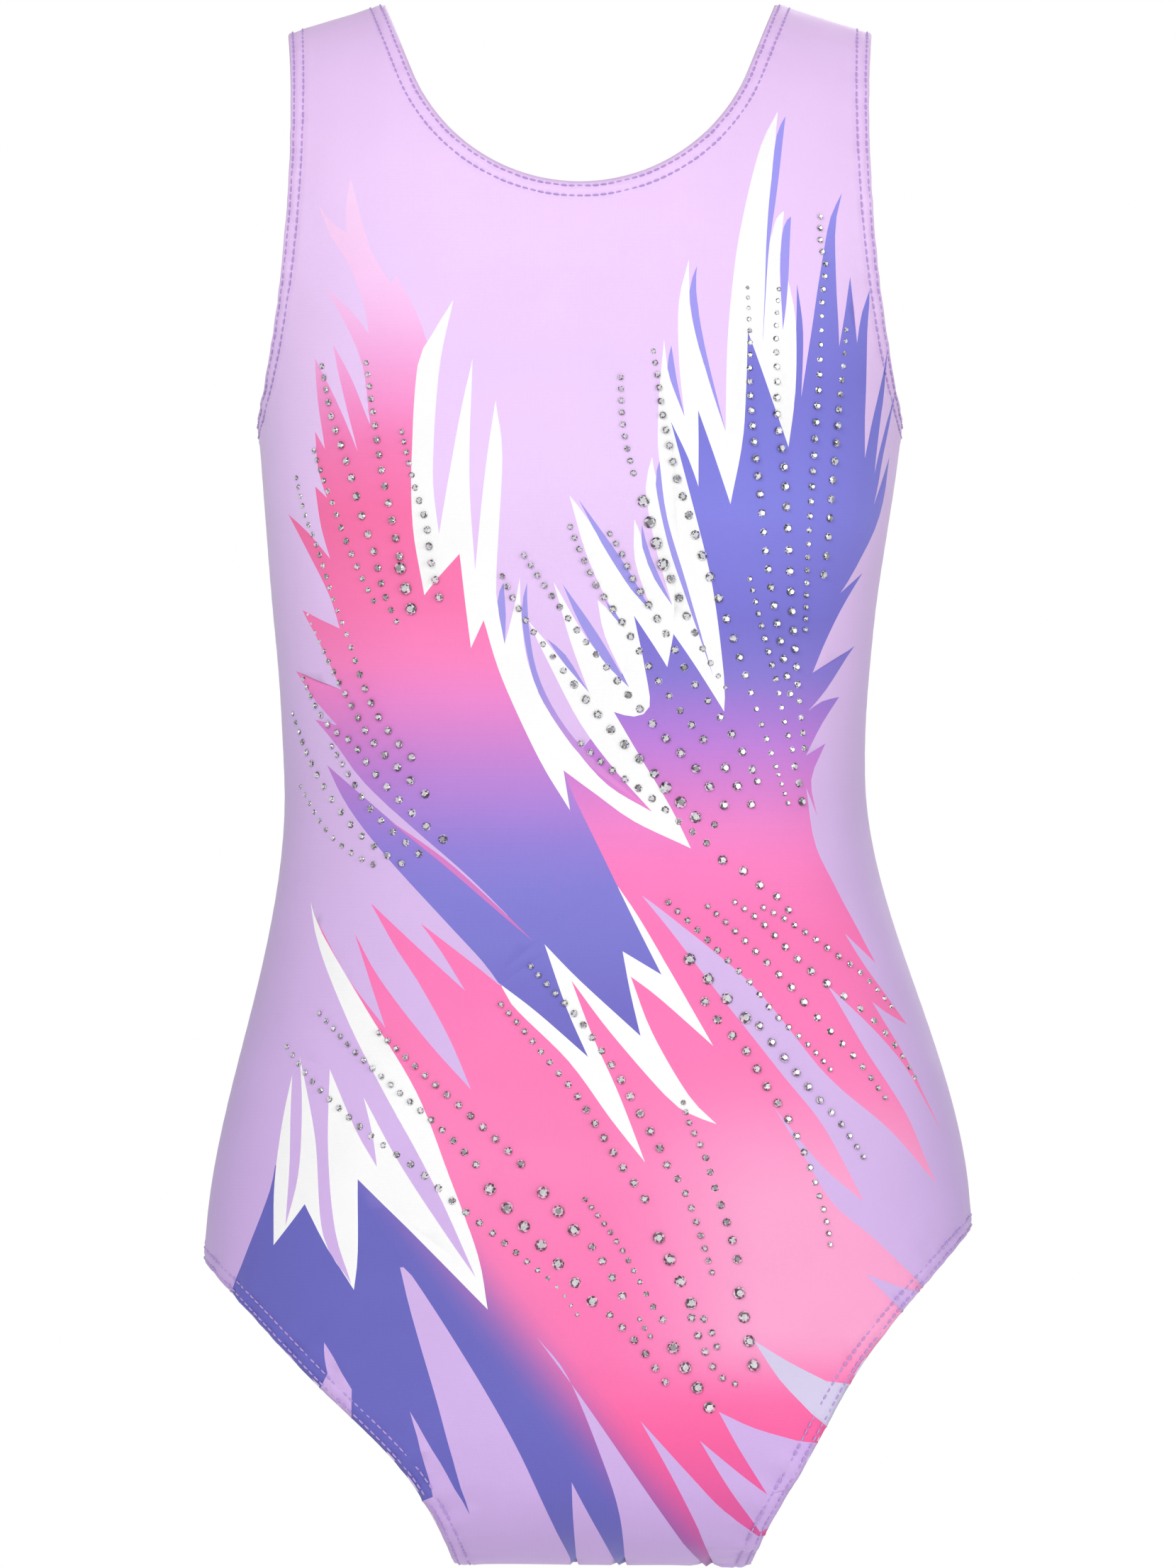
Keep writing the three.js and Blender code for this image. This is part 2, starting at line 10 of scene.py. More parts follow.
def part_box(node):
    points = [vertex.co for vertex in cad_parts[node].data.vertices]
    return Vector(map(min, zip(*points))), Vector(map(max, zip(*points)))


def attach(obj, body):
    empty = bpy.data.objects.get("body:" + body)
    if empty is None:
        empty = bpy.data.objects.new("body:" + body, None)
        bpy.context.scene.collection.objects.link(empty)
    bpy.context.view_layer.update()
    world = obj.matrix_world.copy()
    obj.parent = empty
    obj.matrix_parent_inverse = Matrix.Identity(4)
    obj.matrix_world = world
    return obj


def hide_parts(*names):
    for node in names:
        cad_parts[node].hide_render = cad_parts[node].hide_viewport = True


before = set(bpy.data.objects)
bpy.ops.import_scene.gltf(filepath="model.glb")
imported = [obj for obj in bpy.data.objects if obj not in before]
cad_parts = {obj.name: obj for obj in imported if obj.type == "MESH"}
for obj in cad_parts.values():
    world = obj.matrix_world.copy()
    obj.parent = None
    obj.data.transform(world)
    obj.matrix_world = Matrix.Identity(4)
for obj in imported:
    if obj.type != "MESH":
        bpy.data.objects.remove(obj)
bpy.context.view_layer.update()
bpy.ops.object.select_all(action="DESELECT")
print("frame loaded:", len(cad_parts), "nodes")
mm = 0.001

# The worn body form that the cloth is cut and stretched to, in millimetres.
body = {
    "armpitZ": -156.0,
    "waistZ": -289.0,
    "hipZ": -461.5,
    "crotchZ": -579.5,
    "halfWidths": [(0, 127), (-78, 127), (-156, 119.8), (-289, 108), (-461.5, 142.4), (-579.5, 142.4)],
    "frontDepths": [(-156, 72), (-289, 66), (-461.5, 74)],
    "backDepths": [(-156, 66), (-289, 58), (-461.5, 90)],
    "frontSquareness": 2.5,
    "backSquareness": 2.3,
    "shoulderRound": 120.0,
    "shoulderFall": 0.31,
    "neckHalfWidth": 72.5,
    "crotchRound": 75.0,
    "crotchPower": 2 / 3,
    "girthQuarter": 165.0,
    "flatMiddle": (0.0, 330.0),
    # height, shift of the middle line, rise for each millimetre to the side
    "sway": [(-156, 0, 0), (-234, -2.2, 0), (-289, -1.9, 0), (-384, 2.6, 0.015), (-461.5, 3, 0.043),
             (-504.5, 3.6, 0.042), (-547.5, 9, 0.01), (-579.5, 8.5, 0)],
}


# A smooth curve through stations (height, value), level at each high or low one.
def smoothThrough(stations):
    z = np.array([s[0] for s in stations], float)
    v = np.array([s[1] for s in stations], float)
    slope = np.zeros(len(z))
    for i in range(1, len(z) - 1):
        if (v[i] - v[i - 1]) * (v[i + 1] - v[i]) > 0:
            slope[i] = (v[i + 1] - v[i - 1]) / (z[i + 1] - z[i - 1])

    def at(height):
        h = np.clip(height, z[-1], z[0])
        i = np.clip(np.searchsorted(-z, -h, side="right") - 1, 0, len(z) - 2)
        span = z[i + 1] - z[i]
        t = (h - z[i]) / span
        blend = t * t * (3 - 2 * t)
        leave = slope[i] * span * t * (1 - t) ** 2
        arrive = slope[i + 1] * span * t * t * (1 - t)
        return v[i] + (v[i + 1] - v[i]) * blend + leave - arrive

    return at


def smoothStep(value, low, high):
    t = np.clip((value - low) / (high - low), 0, 1)
    return t * t * (3 - 2 * t)


halfWidthAt = smoothThrough(body["halfWidths"])
depthAt = {True: smoothThrough(body["frontDepths"]), False: smoothThrough(body["backDepths"])}
leanAt = smoothThrough([(s[0], s[1]) for s in body["sway"]])
tiltAt = smoothThrough([(s[0], s[2]) for s in body["sway"]])
crotchStart = body["crotchZ"] + body["crotchRound"]


# Heights down the middle line, the share of the depth at each, and the run of cloth so far.
def middleProfile(front):
    turn = np.linspace(0, math.pi / 2, 700)
    capZ = body["shoulderRound"] * (np.cos(turn) - 1)
    crotchZ = crotchStart - body["crotchRound"] * np.sin(turn) ** body["crotchPower"]
    crotchShare = np.clip(np.cos(turn), 0, 1) ** body["crotchPower"]
    straight = np.linspace(-body["shoulderRound"], crotchStart, 900)[1:]
    z = np.concatenate([capZ, straight, crotchZ[1:]])
    share = np.concatenate([np.sin(turn), np.ones(len(straight)), crotchShare[1:]])
    depth = depthAt[front](z) * share
    run = np.concatenate([[0], np.cumsum(np.hypot(np.diff(z), np.diff(depth)))])
    return {"z": z, "share": share, "run": run}


profiles = {True: middleProfile(True), False: middleProfile(False)}
runLength = {front: profiles[front]["run"][-1] for front in (True, False)}


def fallAt(x, z):
    slope = body["shoulderFall"] * np.maximum(0, np.abs(x) - body["neckHalfWidth"])
    return slope * smoothStep(z, -body["shoulderRound"], 0)


# Flat cloth to the unswayed form: u goes round the body, v down it, both in millimetres.
def formPlace(u, v, front):
    p = profiles[front]
    z = np.interp(v, p["run"], p["z"])
    share = np.interp(v, p["run"], p["share"])
    side = np.sin(np.clip(u / body["girthQuarter"], -1, 1) * math.pi / 2)
    power = body["frontSquareness"] if front else body["backSquareness"]
    inward = np.maximum(0, 1 - np.abs(side) ** power) ** (1 / power)
    x = halfWidthAt(z) * side
    y = depthAt[front](z) * share * inward * (-1 if front else 1)
    return np.stack([x, y, z - fallAt(x, z)], -1)


def formSlopes(u, v, front, h=0.8):
    q = body["girthQuarter"]
    u0, u1 = np.maximum(u - h, -q), np.minimum(u + h, q)
    v0, v1 = np.maximum(v - h, 0), np.minimum(v + h, runLength[front])
    du = (formPlace(u1, v, front) - formPlace(u0, v, front)) / (u1 - u0)[:, None]
    dv = (formPlace(u, v1, front) - formPlace(u, v0, front)) / (v1 - v0)[:, None]
    return du, dv


def sway(p):
    x, y, z = p[:, 0], p[:, 1], p[:, 2]
    return np.stack([x + leanAt(z), y, z + tiltAt(z) * x], -1)


# A place on the cloth, at a depth below its outer face, with the outward normal.
def clothPlace(u, v, front, depth=0.0):
    u, v = np.asarray(u, float), np.asarray(v, float)
    du, dv = formSlopes(u, v, front)
    normal = np.cross(du, dv) * (-1 if front else 1)
    normal /= np.maximum(np.linalg.norm(normal, axis=1), 1e-9)[:, None]
    p = formPlace(u, v, front)
    middle = np.zeros_like(p)
    middle[:, 2] = np.clip(p[:, 2], crotchStart, -body["shoulderRound"])
    wrong = ((p - middle) * normal).sum(1) < 0
    normal[wrong] *= -1
    return sway(p - np.asarray(depth)[..., None] * normal), normal


# The flat place that shows at x, z from the front or the back.
def flatPlace(x, z, front, worn=True):
    x, z = np.asarray(x, float).copy(), np.asarray(z, float).copy()
    if worn:
        sx, sz = x.copy(), z.copy()
        for _ in range(4):
            z = sz - tiltAt(z) * x
            x = sx - leanAt(z)
    row = z.copy()
    for _ in range(8):
        row = z + fallAt(x, np.minimum(row, 0))
    p = profiles[front]
    v = np.interp(-row, -p["z"], p["run"])
    v = np.where(row < body["crotchZ"], runLength[front] + body["crotchZ"] - row, v)
    v = np.where(row > 0, -row, v)
    wide = halfWidthAt(row)
    share = np.clip(x / wide, -1, 1)
    beyond = np.maximum(0, np.abs(x) - wide) * np.sign(x)
    return np.arcsin(share) * 2 / math.pi * body["girthQuarter"] + beyond, v


def bezier(a, b, c, d, count=60):
    t = np.linspace(0, 1, count)[:, None]
    a, b, c, d = (np.array(p, float) for p in (a, b, c, d))
    return (1 - t) ** 3 * a + 3 * (1 - t) ** 2 * t * b + 3 * (1 - t) * t * t * c + t ** 3 * d


# Openings of the +X half as points (x, z), each starting at the shoulder or the hip.
openings = {
    "neckRadius": 67.0,
    "neckDepth": {True: 68.2, False: 88.0},
    "strapOuter": 108.5,
    "armholeHollow": {True: 2.5, False: 6.0},
    "armholeHandles": (3.2, 0.6),  # shares of the shoulder's fall and of the armpit's depth
    "crotchHalfWidth": 54.8,
    "legAtHip": (95.8, -510.0),
    "legAtCrotch": (9.2, -549.1),  # out from the crotch, and height
}


def neckline(front):
    radius, depth = openings["neckRadius"], openings["neckDepth"][front]
    wide = body["neckHalfWidth"]
    centre = radius - depth
    start = math.atan2(-centre, wide) - math.acos(radius / math.hypot(wide, centre))
    arc = [(radius * math.cos(a), centre + radius * math.sin(a)) for a in np.linspace(start, -math.pi / 2, 60)]
    return np.array([(wide, 0)] + arc)


def armhole(front):
    outer, hollow = openings["strapOuter"], openings["armholeHollow"][front]
    top = -body["shoulderFall"] * (outer - body["neckHalfWidth"])
    inner, bottom = outer - hollow, body["armpitZ"]
    upper, lower = openings["armholeHandles"]
    return bezier((outer, top), (inner, upper * top), (inner, lower * bottom), (halfWidthAt(bottom), bottom))


def legLine():
    edge, (reach, height) = openings["crotchHalfWidth"], openings["legAtCrotch"]
    hip = (halfWidthAt(body["hipZ"]), body["hipZ"])
    return bezier(hip, openings["legAtHip"], (edge + reach, height), (edge, body["crotchZ"]))


def spaced(points, step):
    points = np.asarray(points, float)
    run = np.concatenate([[0], np.cumsum(np.linalg.norm(np.diff(points, axis=0), axis=1))])
    count = max(2, int(round(run[-1] / step)) + 1)
    at = np.linspace(0, run[-1], count)
    return np.stack([np.interp(at, run, points[:, k]) for k in range(points.shape[1])], -1)


def flatLine(points, front, worn=False):
    u, v = flatPlace(points[:, 0], points[:, 1], front, worn)
    return np.stack([u, v], -1)


# Each opening's edge on one panel, as flat points about a step apart on the worn cloth.
def openingEdges(front, step):
    neck, arm, leg = neckline(front), armhole(front), legLine()
    flip = np.array([-1, 1])
    whole = np.concatenate([neck, (neck * flip)[::-1][1:]])
    lines = {"neck": whole, "left_armhole": arm, "right_armhole": arm * flip}
    lines |= {"left_leg": leg, "right_leg": leg * flip}
    found = {}
    for name, line in lines.items():
        flat = flatLine(spaced(line, 0.5), front)
        flat[:, 1] = np.clip(flat[:, 1], 0, runLength[front])
        places = clothPlace(flat[:, 0], flat[:, 1], front)[0]
        run = np.concatenate([[0], np.cumsum(np.linalg.norm(np.diff(places, axis=0), axis=1))])
        count = max(2, int(round(run[-1] / step)) + 1)
        at = np.linspace(0, run[-1], count)
        found[name] = np.stack([np.interp(at, run, flat[:, 0]), np.interp(at, run, flat[:, 1])], -1)
    return found


# Flat places a distance in from an edge, measured on the worn cloth.
def beside(edge, inward, front):
    flat = edge.copy()
    for part in range(3):
        du, dv = formSlopes(flat[:, 0], flat[:, 1], front)
        along = np.gradient(edge, axis=0)
        alongEdge = du * along[:, :1] + dv * along[:, 1:]
        normal = np.cross(du, dv)
        across = np.cross(normal, alongEdge)
        across /= np.maximum(np.linalg.norm(across, axis=1), 1e-9)[:, None]
        a, b, c = (du * du).sum(1), (du * dv).sum(1), (dv * dv).sum(1)
        p, q = (du * across).sum(1), (dv * across).sum(1)
        scale = np.maximum(a * c - b * b, 1e-6)
        move = np.stack([(c * p - b * q) / scale, (a * q - b * p) / scale], -1)
        if part == 0:
            middle = np.array(body["flatMiddle"])
            toward = np.sign(((middle - edge) * move).sum(1).sum())
        flat = flat + move * toward * inward / 3
    return flat


# The print. Each outline is a round of strokes, and each stroke is smooth from its first point to
# its last, where the next one starts at an angle. Points are x, z on the worn front.
feathers = {
    "lowerBody": [
        [(79.8, -105.8), (81.9, -124), (81.5, -147.5)],
        [(85.5, -119.7), (89.8, -93.9), (92.5, -81), (96.7, -72)],
        [(94.1, -88), (95.2, -128.8)], [(97.9, -114), (99.6, -103)], [(102, -127.4)],
        [(104, -116), (106.9, -107.8)], [(105.8, -130), (105.4, -169.7)],
        [(110, -148), (113.7, -130.3)], [(112, -150), (109, -175)], [(113.7, -156.3), (117.1, -142.7)],
        [(113.5, -163), (108.7, -186.9)], [(114.9, -169)], [(110.9, -190.8), (102.2, -210), (96.3, -219.5)],
        [(104.8, -212)], [(96, -226.7), (85.8, -249)], [(102, -238.9)], [(90.8, -255), (83.9, -263)],
        [(89, -259.5), (95.5, -257.8)], [(89.3, -267.4), (83.2, -279.5)], [(90.6, -275)],
        [(85.2, -288.5), (87.9, -302)], [(83.4, -291.4)], [(87.4, -313.4), (95.5, -329.7), (109.4, -356.2)],
        [(97.8, -345)], [(108, -361.2), (120.9, -379)], [(113, -374.5), (107.5, -370.4)],
        [(120, -391), (133.9, -418.7)], [(116.6, -390), (91, -364)],
        [(105.1, -388), (120, -411), (132, -437.5)],
        [(114.7, -417.8), (90.8, -397), (63.9, -364.6), (33.3, -338.8), (22.8, -331)],
        [(33.3, -344), (52.4, -369), (74.5, -396.7), (90, -416.5), (104.6, -443.8)],
        [(88.8, -430.3), (71.6, -409.2)], [(81.7, -425.6), (92.7, -443.8), (108, -457), (123.8, -472.3)],
        [(140, -500)], [(75, -600)], [(-75, -600)], [(-150, -490)], [(-129, -477)],
        [(-120, -455.2), (-114.6, -440), (-112.7, -430.3)], [(-101.4, -444.7)], [(-81.6, -435.4)],
        [(-45, -465)], [(-57, -422), (-82, -374), (-97.5, -339.2)], [(-85.6, -361.3), (-71.7, -379.7)],
        [(-76.9, -364), (-83, -345)], [(-74, -361.3), (-56.8, -383.8), (-40, -402.3)],
        [(-48.2, -383.3), (-60, -362), (-67.5, -350.8), (-77.2, -333.7)], [(-60, -349.8), (-42.2, -366)],
        [(-51, -351.7), (-58.7, -341.2)], [(-40, -355.5), (-29.5, -364)], [(-10, -350)], [(-6, -285)],
        [(12.5, -263.5)], [(19.9, -228.1)], [(27, -230)], [(34.4, -234.8)], [(36, -200)], [(33.5, -156.8)],
        [(38, -160)], [(43.6, -152.7)], [(53, -168)], [(61.7, -123.6)], [(70, -130)], [(78.9, -150)],
        [(79.3, -124.5), (79.8, -105.8)],
    ],
    "whiteHem": [
        [(-30, -360), (-25.2, -370.8), (-4.1, -391.9), (11.3, -413), (24, -429)],
        [(14.1, -403.4), (4.6, -382.4), (-3.1, -362.2)],
        [(11.3, -381.4), (31.4, -404.4), (40, -411), (50.3, -415)],
        [(40, -404.4), (26.6, -381.4), (18.7, -360.8)], [(29.5, -369), (49, -386.3)],
        [(35.2, -362.2), (21.8, -339.2), (14.1, -327.8)], [(-13, -345)], [(-30, -360)],
    ],
    "leftPlume": [
        [(-84.5, -66.9), (-86.3, -78), (-86, -87)], [(-92, -82.5), (-96.5, -76)],
        [(-92, -88), (-85.5, -98), (-79.5, -113), (-77.5, -124.5)], [(-83, -117), (-93.8, -107)],
        [(-87, -119), (-80, -135.5), (-77.2, -158)], [(-84.4, -140), (-90.8, -128)],
        [(-88.2, -142), (-82, -167.7)],
        [(-88.2, -152.4), (-97.6, -133)], [(-97, -148), (-94.2, -166.5)], [(-98, -160)],
        [(-96.5, -174), (-93, -184.5)], [(-97.5, -180.2)], [(-95.2, -195.5), (-92, -207)],
        [(-100, -197.4), (-107.8, -190.2)], [(-100, -205), (-91.6, -221.4), (-88.2, -232.6)],
        [(-101.8, -225.7)],
        [(-96.3, -236.7), (-88.2, -255.2)], [(-104.8, -248.2)], [(-98, -259), (-90, -268.3)], [(-98, -266.2)],
        [(-89.8, -276), (-79, -290), (-60, -307.4), (-40, -325), (-17, -348)],
        [(-28, -338.5), (-50, -319.7), (-67, -305.5), (-93.4, -283)],
        [(-85, -299), (-70, -318.2), (-50, -340), (-36, -355), (-30, -363)], [(-15.6, -374), (3, -390.3)],
        [(-5, -372), (-13, -348.9)], [(0, -362.2), (22.3, -382.6)], [(18.4, -366), (15.7, -351.5)],
        [(30, -360.1)],
        [(20, -340.2), (7.4, -314.3), (-2, -295), (-6, -285)], [(-16, -273), (-25, -250), (-35.2, -229)],
        [(-43.8, -204.5)], [(-52, -203)], [(-57.5, -190), (-58.5, -160), (-56.1, -127.4)],
        [(-60, -116.8), (-67.6, -103)], [(-69.5, -106)], [(-77.2, -92.9), (-82, -76), (-84.5, -66.9)],
    ],
    "pinkVane": [
        [(-71, -302.6), (-50, -317.4), (-30, -335.2), (-17, -348)],
        [(-30, -337), (-50, -319.9), (-71, -302.6)],
    ],
    "whiteFan": [
        [(-46.5, -112), (-54.7, -125.5), (-59.5, -136), (-61.7, -165), (-61.5, -195), (-57.3, -220.6)],
        [(-52.3, -214.2), (-44.3, -205.4)], [(-42, -225), (-40, -240)], [(-35.4, -229.8)],
        [(-28.3, -252), (-15, -280.8), (-3.6, -299.7)], [(-6, -285)],
        [(6.5, -294.2), (20, -303.8), (40.8, -313.7)],
        [(33.3, -298.5), (22.5, -280.5), (12.5, -263.5)],
        [(20, -265.2), (25.6, -261.5), (24, -248), (19.9, -228.1)], [(27.5, -239.6), (32.1, -247)],
        [(34.4, -234.8)],
        [(42.9, -247.3), (52.9, -263.3)], [(52.9, -250.2), (48.6, -216.6), (40.9, -185), (33.5, -156.8)],
        [(39.9, -170.2), (43.6, -180.7)], [(43.6, -152.7)], [(50, -170.7), (55.3, -187.1)],
        [(60.3, -161), (61.7, -123.6)], [(68, -141), (77, -166)],
        [(79.3, -145.8), (79.2, -120), (76.4, -104)],
        [(75.9, -113), (74.5, -123)], [(73.5, -100.6), (75.2, -79)], [(72.3, -82), (70.4, -89)],
        [(70.6, -67), (72.2, -52), (73, -41.9)],
        [(66.8, -54.6), (61, -76.6), (56.8, -99.6), (54.2, -127.4), (53.7, -160.3)],
        [(47.2, -140.8), (40.9, -118), (40.2, -108), (40, -97.2)], [(36.3, -113), (36.4, -134), (38.6, -155)],
        [(33.3, -141.8), (31.8, -134), (30.9, -126.4)], [(29, -149), (28.7, -165), (29.3, -171.4)],
        [(27.9, -177), (26.6, -169.7)], [(24.2, -181.2), (27.5, -201.3), (34, -224.3)],
        [(24.7, -208), (22.6, -199), (20, -192.7)], [(20.3, -208), (26.5, -226.5)],
        [(13.2, -210), (3.6, -193.6), (-3.9, -183.8)], [(2.2, -205), (9.3, -221), (16.5, -232.7)],
        [(11, -226.5), (6.5, -222.4)], [(9.3, -235.8), (18.1, -254.5)], [(3.6, -238), (-9.7, -215.7)],
        [(-3.4, -237.7), (3.4, -256.4)], [(-5.3, -246.3), (-12, -238), (-19, -230)],
        [(-12, -244.4), (0, -267.4), (13, -285), (26.6, -300.3)],
        [(10.3, -290.4), (-2.5, -276), (-13, -260.7), (-19.3, -244.4), (-21.5, -228), (-22.1, -214.2)],
        [(-24, -224.3), (-27.6, -238.6)], [(-30.3, -224), (-30.7, -212), (-28.5, -170), (-31, -149)],
        [(-34.6, -173.5), (-38.6, -211.6)], [(-40.6, -175), (-39.4, -133.6)],
        [(-44.6, -157.2), (-51.8, -198.2)],
        [(-54, -175), (-51.8, -139), (-46.5, -112)],
    ],
    "whiteSpray": [
        [(-99.4, -333.5), (-96, -350.8), (-84.6, -379.5), (-70, -407.3), (-60.5, -424), (-50.4, -443.8),
         (-38.2, -471.3)],
        [(-49.4, -455.2), (-65.7, -430.3), (-79.6, -405.3)], [(-76, -420), (-74.5, -430.8)],
        [(-82.7, -416.8), (-92.2, -395)], [(-92.7, -425), (-90.1, -454.3), (-84.2, -473.9)],
        [(-94.5, -456.2), (-97.6, -419.8), (-103.3, -390.5)],
        [(-102.4, -410), (-104, -434.2), (-108.5, -452.9)],
        [(-107.3, -430), (-106.1, -397.2)], [(-110.7, -419.8), (-112.9, -437), (-112.8, -460)],
        [(-106, -451), (-101.4, -444.7)], [(-93.5, -460), (-83.2, -476.1)], [(-81.8, -462), (-81.6, -435.4)],
        [(-59, -457.6), (-33.8, -483)],
        [(-37.5, -462.9), (-48, -434), (-60.1, -403.4), (-78.8, -372.8), (-95.1, -345), (-99.4, -333.5)],
    ],
}
shadowVanes = [
    [[(75.9, -43.6), (72.6, -50.8), (70.6, -67), (68.9, -86.2), (67, -129.8)],
     [(69.2, -96.7), (72.7, -70.9), (75.9, -43.6)]],
    [[(77.8, -81), (75, -85.2), (73.6, -101), (74.5, -123)], [(76.6, -104), (77.8, -81)]],
    [[(43, -99.6), (40.2, -109), (42.4, -124.5), (47.2, -140.8), (53.7, -160.3)],
     [(45.7, -128.4), (42.7, -109), (43, -99.6)]],
    [[(33.6, -128.8), (32.2, -137), (35.2, -146.6), (38.6, -155)], [(35.7, -141.8), (33.6, -128.8)]],
    [[(29.3, -171.4), (27.9, -180), (32.3, -201.3), (39, -221.4), (48.9, -250.2)],
     [(39, -215.7), (32, -192), (29.3, -171.4)]],
    [[(22.8, -194.8), (23, -203), (27.5, -214.7), (34, -224.3)], [(26, -206), (22.8, -194.8)]],
    [[(-0.4, -185.5), (7.9, -201.3), (18.9, -218.5), (26.5, -226.5)], [(15, -207), (-0.4, -185.5)]],
    [[(9.3, -222.6), (12, -228), (16.5, -232.7)], [(13, -226.8), (9.3, -222.6)]],
    [[(-6.3, -216.6), (0, -231), (8.4, -244.4), (18.1, -254.5)], [(6.5, -234.8), (-6.3, -216.6)]],
    [[(-19.4, -216), (-21.4, -228), (-16.9, -252), (-8.2, -268.3), (4.6, -284), (26.6, -300.3)],
     [(5.5, -281.5), (-7.8, -265.4), (-15.9, -248.2), (-19, -229), (-19.4, -216)]],
    [[(-28.1, -216), (-30.3, -223), (-27.6, -238.6)], [(-27.2, -228), (-28.1, -216)]],
    [[(-12, -236.7), (-5.3, -246.3), (3.4, -256.4)], [(-5.3, -242.5), (-12, -236.7)]],
]
lilacVanes = [
    [[(-66.2, -467.7), (-61.9, -485), (-53.3, -514.7), (-45.6, -542.5), (-40.5, -558.9)],
     [(-51.4, -539.5), (-62.6, -520.6)],
     [(-58.5, -534.8), (-54, -552)], [(-64, -556)], [(-60, -600)], [(-2.5, -600)],
     [(-2.5, -580.5), (-8.2, -566.4), (-23.6, -532.9), (-43.7, -498.4), (-61.9, -470.6), (-66.2, -467.7)]],
    [[(-3, -546.4), (-2.5, -560), (-1, -581)], [(-1, -600)], [(14.6, -600)], [(14.6, -580.3)],
     [(7.4, -566.4), (-3, -546.4)]],
    [[(-15.9, -493), (-4.3, -508), (8.4, -538.6), (14.6, -558.7), (17, -580.3)], [(17, -600)], [(46.7, -600)],
     [(46.7, -579.8)], [(38, -569.2), (20, -543.4), (1.4, -516.6), (-15.9, -493)]],
    [[(22.3, -524), (33.3, -543.4), (43.8, -564.4), (49.6, -580)], [(50, -600)], [(90, -600)],
     [(72, -566)], [(65.9, -567.3)],
     [(53.4, -557.7), (40, -543.4), (22.3, -524)]],
    [[(44, -531.1), (54.4, -548.2), (66.3, -565.4)], [(76, -562)], [(80, -549)], [(68.9, -551.2)],
     [(61, -545.3), (44, -531.1)]],
    [[(51, -520.6), (58.2, -533.8), (68.9, -551.2)], [(80, -549)], [(92, -533)], [(79.7, -531.4)],
     [(63.9, -526.6), (51, -520.6)]],
    [[(105.6, -470.6), (114.7, -480)], [(122, -488)], [(130, -478)], [(120, -476.1)], [(105.6, -470.6)]],
    [[(-94, -495.5), (-94, -501.2), (-93, -507)], [(-97, -516)], [(-84, -524)], [(-83.9, -512.7)],
     [(-90.6, -501.2), (-94, -495.5)]],
]
paleVanes = [
    [[(63.9, -494.5), (73.5, -508.9), (85, -521.4)], [(95, -530)], [(108, -512)], [(90.8, -509.7)],
     [(76.4, -502.2), (63.9, -494.5)]],
]

sprayStripes = [
    [[(-70, -407.3), (-60.5, -424), (-50.4, -443.8), (-38.2, -471.3)],
     [(-49.4, -455.2), (-65.7, -430.3), (-79.6, -405.3)],
     [(-70, -407.3)]],
    [[(-103.3, -390.5), (-97.6, -419.8), (-94.5, -456.2), (-84.2, -473.9)],
     [(-90.1, -454.3), (-92.7, -425), (-92.2, -395)],
     [(-103.3, -390.5)]],
    [[(-106.1, -397.2), (-107.3, -430), (-108.5, -452.9)],
     [(-104, -434.2), (-102.4, -410), (-103.3, -390.5)], [(-106.1, -397.2)]],
]

# Inks down the cloth: height, then red, green and blue as they look.
inks = {
    # The lilac runs from pinker on the chest to bluer lower down, as the print does, and is also lighter on
    # the chest and darker down the body as painted light and shade from above.
    "lilac": [(0, (238, 202, 252)), (-60, (243, 208, 255)), (-180, (241, 209, 255)), (-300, (222, 190, 240)),
              (-420, (216, 184, 238)), (-580, (212, 180, 238))],
    "left": [(-67, (255, 216, 253)), (-105, (255, 206, 251)), (-120, (255, 192, 243)),
     (-135, (255, 172, 229)),
             (-150, (255, 150, 212)), (-165, (255, 128, 190)), (-190, (255, 116, 174)),
              (-225, (255, 122, 182)),
             (-245, (255, 134, 198)), (-258, (242, 136, 210)), (-270, (221, 134, 212)),
              (-285, (195, 132, 217)),
             (-300, (172, 131, 220)), (-312, (150, 128, 219)), (-330, (131, 125, 216)),
              (-350, (123, 119, 210)),
             (-392, (110, 104, 194))],
    "right": [(-60, (165, 156, 250)), (-100, (138, 135, 232)), (-140, (124, 122, 220)),
     (-190, (133, 131, 231)),
              (-230, (122, 116, 214)), (-250, (139, 123, 216)), (-262, (168, 125, 219)),
               (-275, (194, 129, 222)),
              (-290, (218, 130, 213)), (-305, (245, 133, 207)), (-320, (255, 128, 197)),
               (-345, (255, 121, 187)),
              (-400, (255, 126, 187)), (-430, (255, 132, 190)), (-500, (255, 120, 182)),
               (-530, (254, 100, 165)),
              (-580, (225, 84, 165))],
    "vane": [(-45, (163, 156, 250)), (-200, (165, 158, 240)), (-250, (160, 152, 232)),
     (-270, (190, 150, 225)),
             (-290, (230, 140, 215)), (-300, (250, 130, 200))],
    "pinkVane": [(-300, (228, 130, 205)), (-348, (205, 120, 200))],
    "lightPink": [(0, (255, 166, 211))],
    "deepBlue": [(0, (106, 104, 194))],
    "white": [(0, (255, 255, 255))],
    "pale": [(0, (216, 208, 238))],
}
# Where the colours of the lower body run into each other, in millimetres across and down.
fades = {
    "glowAcross": (5, 70),
    "glowStart": (385, 450),
    "glowEnd": (490, 520),
    "blueStart": (405, 440),
    "blueEdge": -12,
    "blueEdgeHeight": -505,
    "blueSlope": 0.8,
    "blueSoft": (20, 17),
}


def inkAt(name, z):
    stops = inks[name]
    heights = [-s[0] for s in stops]
    return np.stack([np.interp(-z, heights, [s[1][k] for s in stops]) for k in range(3)], -1)


def mixInk(a, b, share):
    return a + (b - a) * np.clip(share, 0, 1)[:, None]


